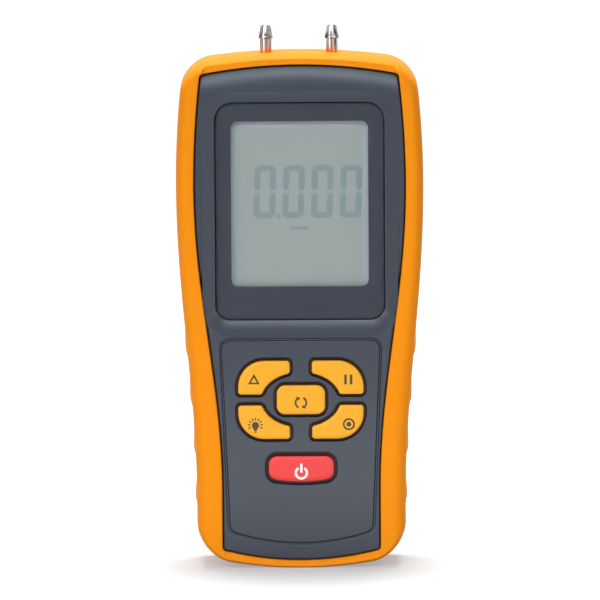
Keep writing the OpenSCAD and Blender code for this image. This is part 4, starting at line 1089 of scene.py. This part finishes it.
class MANOMETER_OT_battery_door(bpy.types.Operator):
    """Round the edges of the battery door and dress its screw"""
    bl_idname = "manometer.battery_door"
    bl_label = "Battery door"

    def execute(self, context):
        softened("battery_door", "door_cover", "battery_door",
                 housing(context.scene.manometer_panel.tint), 0.2 * MM)
        steel = turned_metal("Zinc screw", ZINC, 0.35)
        softened("door_screw", "door_fastener", "battery_door", steel, 0.1 * MM)
        return {"FINISHED"}


class MANOMETER_OT_lens(bpy.types.Operator):
    """Make the clear lens, the dark border printed behind it and a near-black collar in the gap
    round it, whose colour is painted shade
    """
    bl_idname = "manometer.lens"
    bl_label = "Lens"

    def execute(self, context):
        s = context.scene.manometer_display
        y0, y1 = LENS_LOW.y, LENS_HIGH.y
        edge = 0.25 * MM
        bm = bmesh.new()
        skin = Skin(bm, lens_outline(s, edge * 1.4), y0).closed()
        for wide, deep in quarter(30):
            skin.to(lens_outline(s, edge * wide), y0 + edge * deep)
        skin.to(lens_outline(s, 0), y1 - edge / 2)
        skin.to(lens_outline(s, edge / 2), y1).closed()
        glass = clear_glass("Clear lens", ACRYLIC)
        piece("lens_pane", bm, "meter", glass, ("lens",))

        # The border lies just behind the pane, so that the two share no face
        bm = bmesh.new()
        front = y1 + 0.05 * MM
        self.collar(bm, (lens_outline(s, 0.1 * MM), window_outline(s, 0)), (front, front),
                    TAPE_Y, lambda edges: fill(bm, edges))
        ink = moulded("Border print", s.border, 0.45, 0.05, 0.03, bump=0.0, Specular_IOR_Level=0.1)
        piece("lens_border", bm, "meter", ink, ("lens_tape",))

        # The near-black collar in the gap round the lens keeps light out through the lens's edge;
        # its colour is painted shade for the gap
        bm = bmesh.new()
        self.collar(bm, (lens_outline(s, -0.02 * MM), lens_outline(s, 0.03 * MM - s.lens_gap)),
                    (y0 + 0.8 * MM, y0 + 0.95 * MM), y1 + 0.15 * MM,
                    lambda edges: bmesh.ops.bridge_loops(bm, edges=edges))
        seal = moulded("Black seal", s.seal, 0.6, clouding=0.05, Specular_IOR_Level=0.2)
        piece("lens_dark_gap_collar", bm, "meter", seal)
        return {"FINISHED"}

    @staticmethod
    def collar(bm, outlines, fronts, back, close):
        """A collar between two outlines, from a front depth for each to one back depth. The
        function close fills in between two loops of edges."""
        walls = [Skin(bm, outline, y) for outline, y in zip(outlines, fronts)]
        close(walls[0].edges + walls[1].edges)
        for wall, outline in zip(walls, outlines):
            wall.to(outline, back)
        close(walls[0].edges + walls[1].edges)


class MANOMETER_OT_display(bpy.types.Operator):
    """Make the display's glass and its seven-segment digits"""
    bl_idname = "manometer.display"
    bl_label = "Display"

    # Between two segments: half their gap, the cut of their corners, and half the gap at the
    # digit's middle
    GAP = 0.06 * MM
    CUT = 1.3 * MM
    MIDDLE = 0.2 * MM
    # The short bars under the digits: their middles and half widths, in millimetres
    BARS = ((-2.1, 0.6), (-0.2, 1.0), (2.2, 1.1))

    def execute(self, context):
        s = context.scene.manometer_display
        size = GLASS_HIGH - GLASS_LOW
        middle = (GLASS_LOW + GLASS_HIGH) / 2
        r = 0.3 * MM
        bm = bmesh.new()
        outline = plate(middle.x, middle.z, size.x, size.z, r, r, 3)
        Skin(bm, outline, GLASS_LOW.y).closed().to(outline, GLASS_HIGH.y).closed()
        piece("display_glass", bm, "meter", self.ground(s), ("lcd_glass",))

        bm = bmesh.new()
        for k in range(s.digits):
            x = s.digit_x + (k - (s.digits - 1) / 2) * s.digit_pitch
            for segment in self.zero(s):
                self.flat(bm, s, [(x + u, s.digit_z + v) for u, v in segment])
        foot = s.digit_z - s.digit_h / 2
        point = s.digit_x - s.digit_pitch
        self.flat(bm, s, square(point, foot + 0.6 * MM, 0.7 * MM, 0.7 * MM))
        for x, half in self.BARS:
            self.flat(bm, s, square(x * MM, foot - 3.2 * MM, half * MM, 0.5 * MM))
        ink = moulded("Display segments", s.ink, 0.3, 0.02, 0.03, bump=0.0)
        piece("display_segments", bm, "meter", ink)
        return {"FINISHED"}

    def zero(self, s):
        """The six lit segments of a zero, about the digit's middle."""
        w, h, b, g, c = s.digit_w / 2, s.digit_h / 2, s.bar, self.GAP, self.CUT
        top = [(-w + c, h), (w - c, h), (w - c / 2 - g, h - c / 2), (w - b - g, h - b),
               (-w + b + g, h - b), (-w + c / 2 + g, h - c / 2)]
        side = [(w, h - c), (w, b * 0.6), (w - b / 2, self.MIDDLE), (w - b, b * 0.6),
                (w - b, h - b - g), (w - c / 2, h - c / 2 - g)]
        flips = [(1, 1), (1, -1), (-1, 1), (-1, -1)]
        return ([[(u, v * f) for u, v in top] for f in (1, -1)]
                + [[(u * a, v * f) for u, v in side] for a, f in flips])

    def flat(self, bm, s, points):
        """A thin raised tile on the display's face, leaning with the digits."""
        lean = math.tan(s.slant)
        tile(bm, [(x + (z - s.digit_z) * lean, z) for x, z in points],
             GLASS_LOW.y - 0.02 * MM, 0.03 * MM)

    def ground(self, s):
        """The display's ground: grey-green, and bluer along the window's edges."""
        made = moulded("Display ground", s.glass, 0.35, 0.04, 0.03, bump=0.0)
        tree = made.node_tree
        edges = [ramp(tree, value, far - s.edge_w, far - s.edge_w / 3) for value, far in
                 ((calc(tree, "ABSOLUTE", along(tree, "X")), s.window_w / 2),
                  (along(tree, "Z"), s.window_z + s.window_h / 2))]
        edge = calc(tree, "MAXIMUM", *edges)
        return recoloured(made, lambda plain: blend(tree, edge, plain, (*s.edge_tint, 1)))


class MANOMETER_OT_keys(bpy.types.Operator):
    """Make the six rubber keys with their rounded rims and flanges"""
    bl_idname = "manometer.keys"
    bl_label = "Keys"

    # Share of the rim's width, share of its fall
    RIM = ((0.0, 1.0), (0.0, 0.62), (0.02, 0.5), (0.06, 0.39), (0.12, 0.33), (0.19, 0.285),
           (0.27, 0.24), (0.4, 0.17), (0.6, 0.085), (0.8, 0.025), (0.93, 0.003), (1.0, 0.0))

    def execute(self, context):
        s = context.scene.manometer_keys
        top = KEY_LOW.y
        for key in KEYS:
            bm = bmesh.new()
            flange = key_outline(s, key, -s.flange_out - 0.2 * MM)
            skin = Skin(bm, flange, -s.flange_y + s.flange_t).closed()
            skin.to(flange, -s.flange_y)
            skin.to(key_outline(s, key, s.inset), -s.flange_y)
            for wide, deep in self.RIM:
                skin.to(key_outline(s, key, mix(s.inset, s.rim, wide)), top + s.fall * deep)
            skin.to(key_outline(s, key, s.rim * 1.06), top).closed()
            red = key == "power"
            material = (self.rubber("Red rubber", s.red, s.red_painted_shade) if red
                        else self.rubber("Yellow rubber", s.yellow, s.yellow_painted_shade))
            piece(key + "_cap", bm, key + "_key", material,
                  (key + "_button",), 50)
        return {"FINISHED"}

    @staticmethod
    def rubber(name, tint, deep):
        """Rubber whose colour turns to a painted shade down in its well."""
        if name in bpy.data.materials:
            return bpy.data.materials[name]
        made = moulded(name, tint, 0.4, 0.08, bump=0.02, Specular_IOR_Level=0.4)
        # Painted shade, growing from 0.1 mm to 1.3 mm behind the front of the case
        well = {"Painted shade colour": (*deep, 1), "Start": CASE_LOW.y + 0.1 * MM,
                "End": CASE_LOW.y + 1.3 * MM}
        return recoloured(made, lambda plain: add(made.node_tree, "Group",
                                                  {"Colour": plain, **well},
                                                  node_tree=painted_well_shade_group()))


class MANOMETER_OT_key_signs(bpy.types.Operator):
    """Print a plain sign on each key"""
    bl_idname = "manometer.key_signs"
    bl_label = "Key signs"

    # Lamp: its middle, the bulb's radius, and the rays' ends and half width
    LAMP = Vector((0, 0.25))
    BULB = 1.15
    RAY = (1.6, 2.5, 0.19)

    def execute(self, context):
        s = context.scene.manometer_keys
        dot = [around(0.8, 90 - 15 * k) for k in range(24)]
        arrows = [part for turn in (0, 180) for part in
                  (*arc(1.45, 2.05, turn + 25, turn + 140, 16),
                   [around(1.75, turn + 172), around(0.9, turn + 138), around(2.6, turn + 138)])]
        # Where each sign's middle lies, and its tiles, in millimetres: a triangle for a
        # difference, two bars for a pause, a lamp with rays, a dot in a ring for a
        # recording, two arrows in a circle, and a broken ring with a bar
        signs = {"dif": (-15.2, 61.2, arc(1.15, 2.2, 0, -360, 3)),
                 "hold": (15.4, 61.5, [square(x, 0, 0.42, 1.6) for x in (-0.9, 0.9)]),
                 "light": (-14.8, 46.4, self.lamp()),
                 "rec": (15.5, 46.9, arc(1.4, 1.95, 0, 360, 36) + [dot]),
                 "units": (0.0, 54.0, arrows),
                 "power": (0.0, 31.1, arc(1.42, 2.18, 32, 328, 40) + [square(0, 1.55, 0.4, 1.45)])}
        for key, (x, z, tiles) in signs.items():
            bm = bmesh.new()
            for points in tiles:
                tile(bm, [(u * MM, v * MM) for u, v in points], KEY_LOW.y + 0.01 * MM, -s.sign_t)
            bmesh.ops.translate(bm, verts=bm.verts, vec=(x * MM, 0, z * MM))
            light = key == "power"
            name, ink = ("White ink", s.white) if light else ("Dark ink", s.ink)
            material = moulded(name, ink, 0.5, 0.05, 0.02 if light else 0.04, 4000.0, 0.01)
            piece(key + "_sign", bm, key + "_key", material)
        return {"FINISHED"}

    def lamp(self):
        """A bulb with its neck, its base and nine rays."""
        bulb = [self.LAMP + Vector(around(self.BULB, a)) for a in range(-140, 141, 14)]
        tiles = [[*bulb, (0.42, -1.5), (-0.42, -1.5)], square(0, -1.88, 0.34, 0.22)]
        start, end, half = self.RAY
        for k in range(9):
            out = Vector(around(1, -112 + 28 * k))
            side = Vector((out.y, -out.x)) * half
            tiles.append([self.LAMP + out * start + side, self.LAMP + out * end + side,
                          self.LAMP + out * end - side, self.LAMP + out * start - side])
        return tiles


class MANOMETER_OT_ports(bpy.types.Operator):
    """Spin the two barbed pressure ports"""
    bl_idname = "manometer.ports"
    bl_label = "Pressure ports"

    SEGMENTS = 64

    def execute(self, context):
        s = context.scene.manometer_ports
        # The ports get painted reflection streaks and, up to 2.8 mm above the boot, a painted
        # reflection of the orange rubber
        metal = turned_metal("Nickel plate", s.nickel, 0.14, 0.6, BOOT_HIGH.z + 2.8 * MM)
        for side, node in ((-1, "high_port"), (1, "low_port")):
            bm = bmesh.new()
            verts = [bm.verts.new((r, 0, z)) for r, z in self.profile(s)]
            edges = [bm.edges.new(pair) for pair in zip(verts, verts[1:])]
            edges.append(bm.edges.new((verts[-1], verts[0])))
            bmesh.ops.spin(bm, geom=verts + edges, cent=(0, 0, 0), axis=(0, 0, 1),
                           angle=2 * math.pi, steps=self.SEGMENTS, use_merge=True,
                           use_duplicate=False)
            bmesh.ops.translate(bm, verts=bm.verts, vec=(side * s.x, 0, 0))
            piece(node.replace("port", "nipple"), bm, "meter", metal, (node,), 30)
        return {"FINISHED"}

    def profile(self, s):
        """Half section of a port as (radius, height), from its lower end up the outside and
        down the bore."""
        top, low = PORT_HIGH.z, PORT_LOW.z
        barb = top - s.barb_l
        soft = 0.12 * MM
        neck_z = s.flange_z + 1 * MM
        return [(s.bore_r, low), (s.tip_r - soft, low), (s.tip_r, low + soft),
                (s.tip_r, s.flange_z - 6 * MM), (2 * MM, s.flange_z - 6 * MM),
                (2 * MM, s.flange_z), (s.flange_r, s.flange_z), (s.flange_r, neck_z - soft),
                (s.flange_r - soft, neck_z), (s.neck_r, neck_z), (s.neck_r, barb - soft),
                (s.neck_r + soft, barb), (s.barb_r - soft, barb), (s.barb_r, barb + soft),
                (s.barb_r, barb + s.land - soft), (s.barb_r - soft / 2, barb + s.land),
                (s.tip_r + 0.02 * MM, top - 0.5 * MM), (s.tip_r - 0.08 * MM, top - 0.22 * MM),
                (s.tip_r - 0.25 * MM, top - 0.06 * MM), (s.tip_r - 0.42 * MM, top),
                (s.bore_r + soft, top), (s.bore_r, top - soft)]


class MANOMETER_OT_inner_parts(bpy.types.Operator):
    """Give every CAD piece inside the case its own finish"""
    bl_idname = "manometer.inner_parts"
    bl_label = "Inner parts"

    # Roughness and metallic share of each class of finish in the record
    CLASSES = {"rubber": (0.6, 0.0), "matte_plastic": (0.55, 0.0), "gloss_plastic": (0.25, 0.0),
               "glass": (0.15, 0.0), "brass": (0.3, 1.0), "brushed_steel": (0.35, 1.0),
               "painted_metal": (0.35, 0.3), "fabric": (0.9, 0.0), "chrome": (0.15, 1.0)}

    def execute(self, context):
        record = frame["record"]
        finishes = {m["slot"]: m for m in record["materials"]}
        for part in record["subparts"]:
            node = frame["nodes"][part["node"]]
            finish = finishes[part["material_slot"]]
            roughness, metallic = self.CLASSES[finish["class"]]
            made = moulded("Inner " + finish["slot"], finish["base_color"][:3], roughness,
                           clouding=0.1, scale=2500.0, Metallic=metallic)
            node.data.materials.clear()
            node.data.materials.append(made)
        return {"FINISHED"}


class MANOMETER_OT_stage(bpy.types.Operator):
    """Set up the floor, the lamps, the world and the camera"""
    bl_idname = "manometer.stage"
    bl_label = "Stage"

    def execute(self, context):
        s = context.scene.manometer_stage
        self.floor(s)
        self.world(context, s)
        self.lamp("Top lamp", (-0.1, -1.5, 0.92), 1.2, 0.26, s.top_light,
                  tint=(0.83, 0.94, 1.0))
        self.lamp("Low lamp", (0.0, -0.14, 0.018), 0.3, 0.036, s.low_light, (0.0, 0.0, 0.018))
        self.lamp("Left strip", (-1.0, -1.2, 0.52), 0.5, 1.1, s.left_light)
        self.lamp("Right strip", (1.1, -1.1, 0.52), 0.4, 1.1, s.right_light)
        self.lamp("Back lamp", (0.0, 0.28, 1.4), 0.7, 0.5, s.back_light)
        self.camera(context, s)
        context.scene.view_settings.view_transform = "Standard"
        return {"FINISHED"}

    def floor(self, s):
        bm = bmesh.new()
        bmesh.ops.create_grid(bm, x_segments=2, y_segments=2, size=s.floor / 2)
        mesh = bpy.data.meshes.new("floor")
        bm.to_mesh(mesh)
        bm.free()
        material, tree, surface = new_material("White floor")
        # The shadow ends sooner to the sides than to the front and the back
        drawn = add(tree, "Mapping", {"Vector": place(tree), "Scale": (14, 7, 1)})
        away = add(tree, "VectorMath", {0: drawn}, "Value", operation="LENGTH")
        glow = ramp(tree, away, 0.25, 1.4, s.floor_glow, interpolation_type="SMOOTHSTEP")
        feed(tree, surface, {"Base Color": (0.45, 0.45, 0.45, 1), "Roughness": 0.9,
                             "Specular IOR Level": 0.0, "Emission Color": (1, 1, 1, 1),
                             "Emission Strength": calc(tree, "MULTIPLY", self.seen(tree), glow)})
        mesh.materials.append(material)
        made = in_scene("floor", mesh)

    @staticmethod
    def seen(tree):
        """1 for what the camera, mirrors and clear pieces see, 0 for what lights the meter."""
        ray = add(tree, "LightPath").node.outputs
        either = calc(tree, "MAXIMUM", ray["Is Camera Ray"], ray["Is Glossy Ray"])
        return calc(tree, "MAXIMUM", either, ray["Is Transmission Ray"])

    def world(self, context, s):
        world = bpy.data.worlds.new("White world")
        context.scene.world = world
        world.use_nodes = True
        tree = world.node_tree
        level = calc(tree, "MULTIPLY_ADD", self.seen(tree), 1 - s.ambient, s.ambient)
        feed(tree, tree.nodes["Background"], {"Color": (1, 1, 1, 1), "Strength": level})

    def lamp(self, name, spot, width, height, watts, aim=(0, 0, 0.085), tint=(1, 1, 1)):
        data = bpy.data.lights.new(name, "AREA")
        data.shape = "RECTANGLE"
        data.size = width
        data.size_y = height
        data.energy = watts
        data.color = tint
        made = in_scene(name, data)
        made.location = spot
        turn = (Vector(aim) - Vector(spot)).to_track_quat("-Z", "Y")
        made.rotation_euler = turn.to_euler()

    def camera(self, context, s):
        data = bpy.data.cameras.new("Camera")
        made = in_scene("Camera", data)
        target = Vector((s.aim_x, BOOT_LOW.y, s.aim_z))
        away = Vector((0, -math.cos(s.elevation), math.sin(s.elevation))) * s.distance
        made.location = target + away
        turn = (-away).to_track_quat("-Z", "Y").to_matrix().to_4x4()
        turn = turn @ Matrix.Rotation(s.roll, 4, "Z")
        made.rotation_euler = turn.to_euler()
        data.sensor_width = 36
        data.lens = data.sensor_width * s.distance / s.picture
        data.clip_end = 100
        context.scene.camera = made


OPERATORS = (MANOMETER_OT_boot, MANOMETER_OT_front_panel, MANOMETER_OT_back_panel,
             MANOMETER_OT_battery_door, MANOMETER_OT_lens, MANOMETER_OT_display,
             MANOMETER_OT_keys, MANOMETER_OT_key_signs, MANOMETER_OT_ports,
             MANOMETER_OT_inner_parts, MANOMETER_OT_stage)
SETTINGS = {"manometer_boot": BootSettings, "manometer_panel": PanelSettings,
            "manometer_display": DisplaySettings, "manometer_keys": KeySettings,
            "manometer_ports": PortSettings, "manometer_stage": StageSettings}


class MANOMETER_PT_sidebar(bpy.types.Panel):
    """Lists the manometer's steps and settings"""
    bl_idname = "MANOMETER_PT_sidebar"
    bl_label = "Manometer"
    bl_space_type = "VIEW_3D"
    bl_region_type = "UI"
    bl_category = "Manometer"

    def draw(self, context):
        for operator in OPERATORS:
            self.layout.operator(operator.bl_idname)
        for name, group in SETTINGS.items():
            box = self.layout.box()
            box.label(text=group.__name__)
            for setting in group.__annotations__:
                label = setting.replace("_", " ").capitalize()
                box.prop(getattr(context.scene, name), setting, text=label)


def register():
    for group in SETTINGS.values():
        bpy.utils.register_class(group)
    for name, group in SETTINGS.items():
        setattr(bpy.types.Scene, name, PointerProperty(type=group))
    for operator in OPERATORS:
        bpy.utils.register_class(operator)
    bpy.utils.register_class(MANOMETER_PT_sidebar)


def unregister():
    bpy.utils.unregister_class(MANOMETER_PT_sidebar)
    for operator in reversed(OPERATORS):
        bpy.utils.unregister_class(operator)
    for name, group in SETTINGS.items():
        delattr(bpy.types.Scene, name)
        bpy.utils.unregister_class(group)


def main():
    register()
    for operator in OPERATORS:
        section, name = operator.bl_idname.split(".")
        getattr(getattr(bpy.ops, section), name)()


if __name__ == "__main__":
    main()
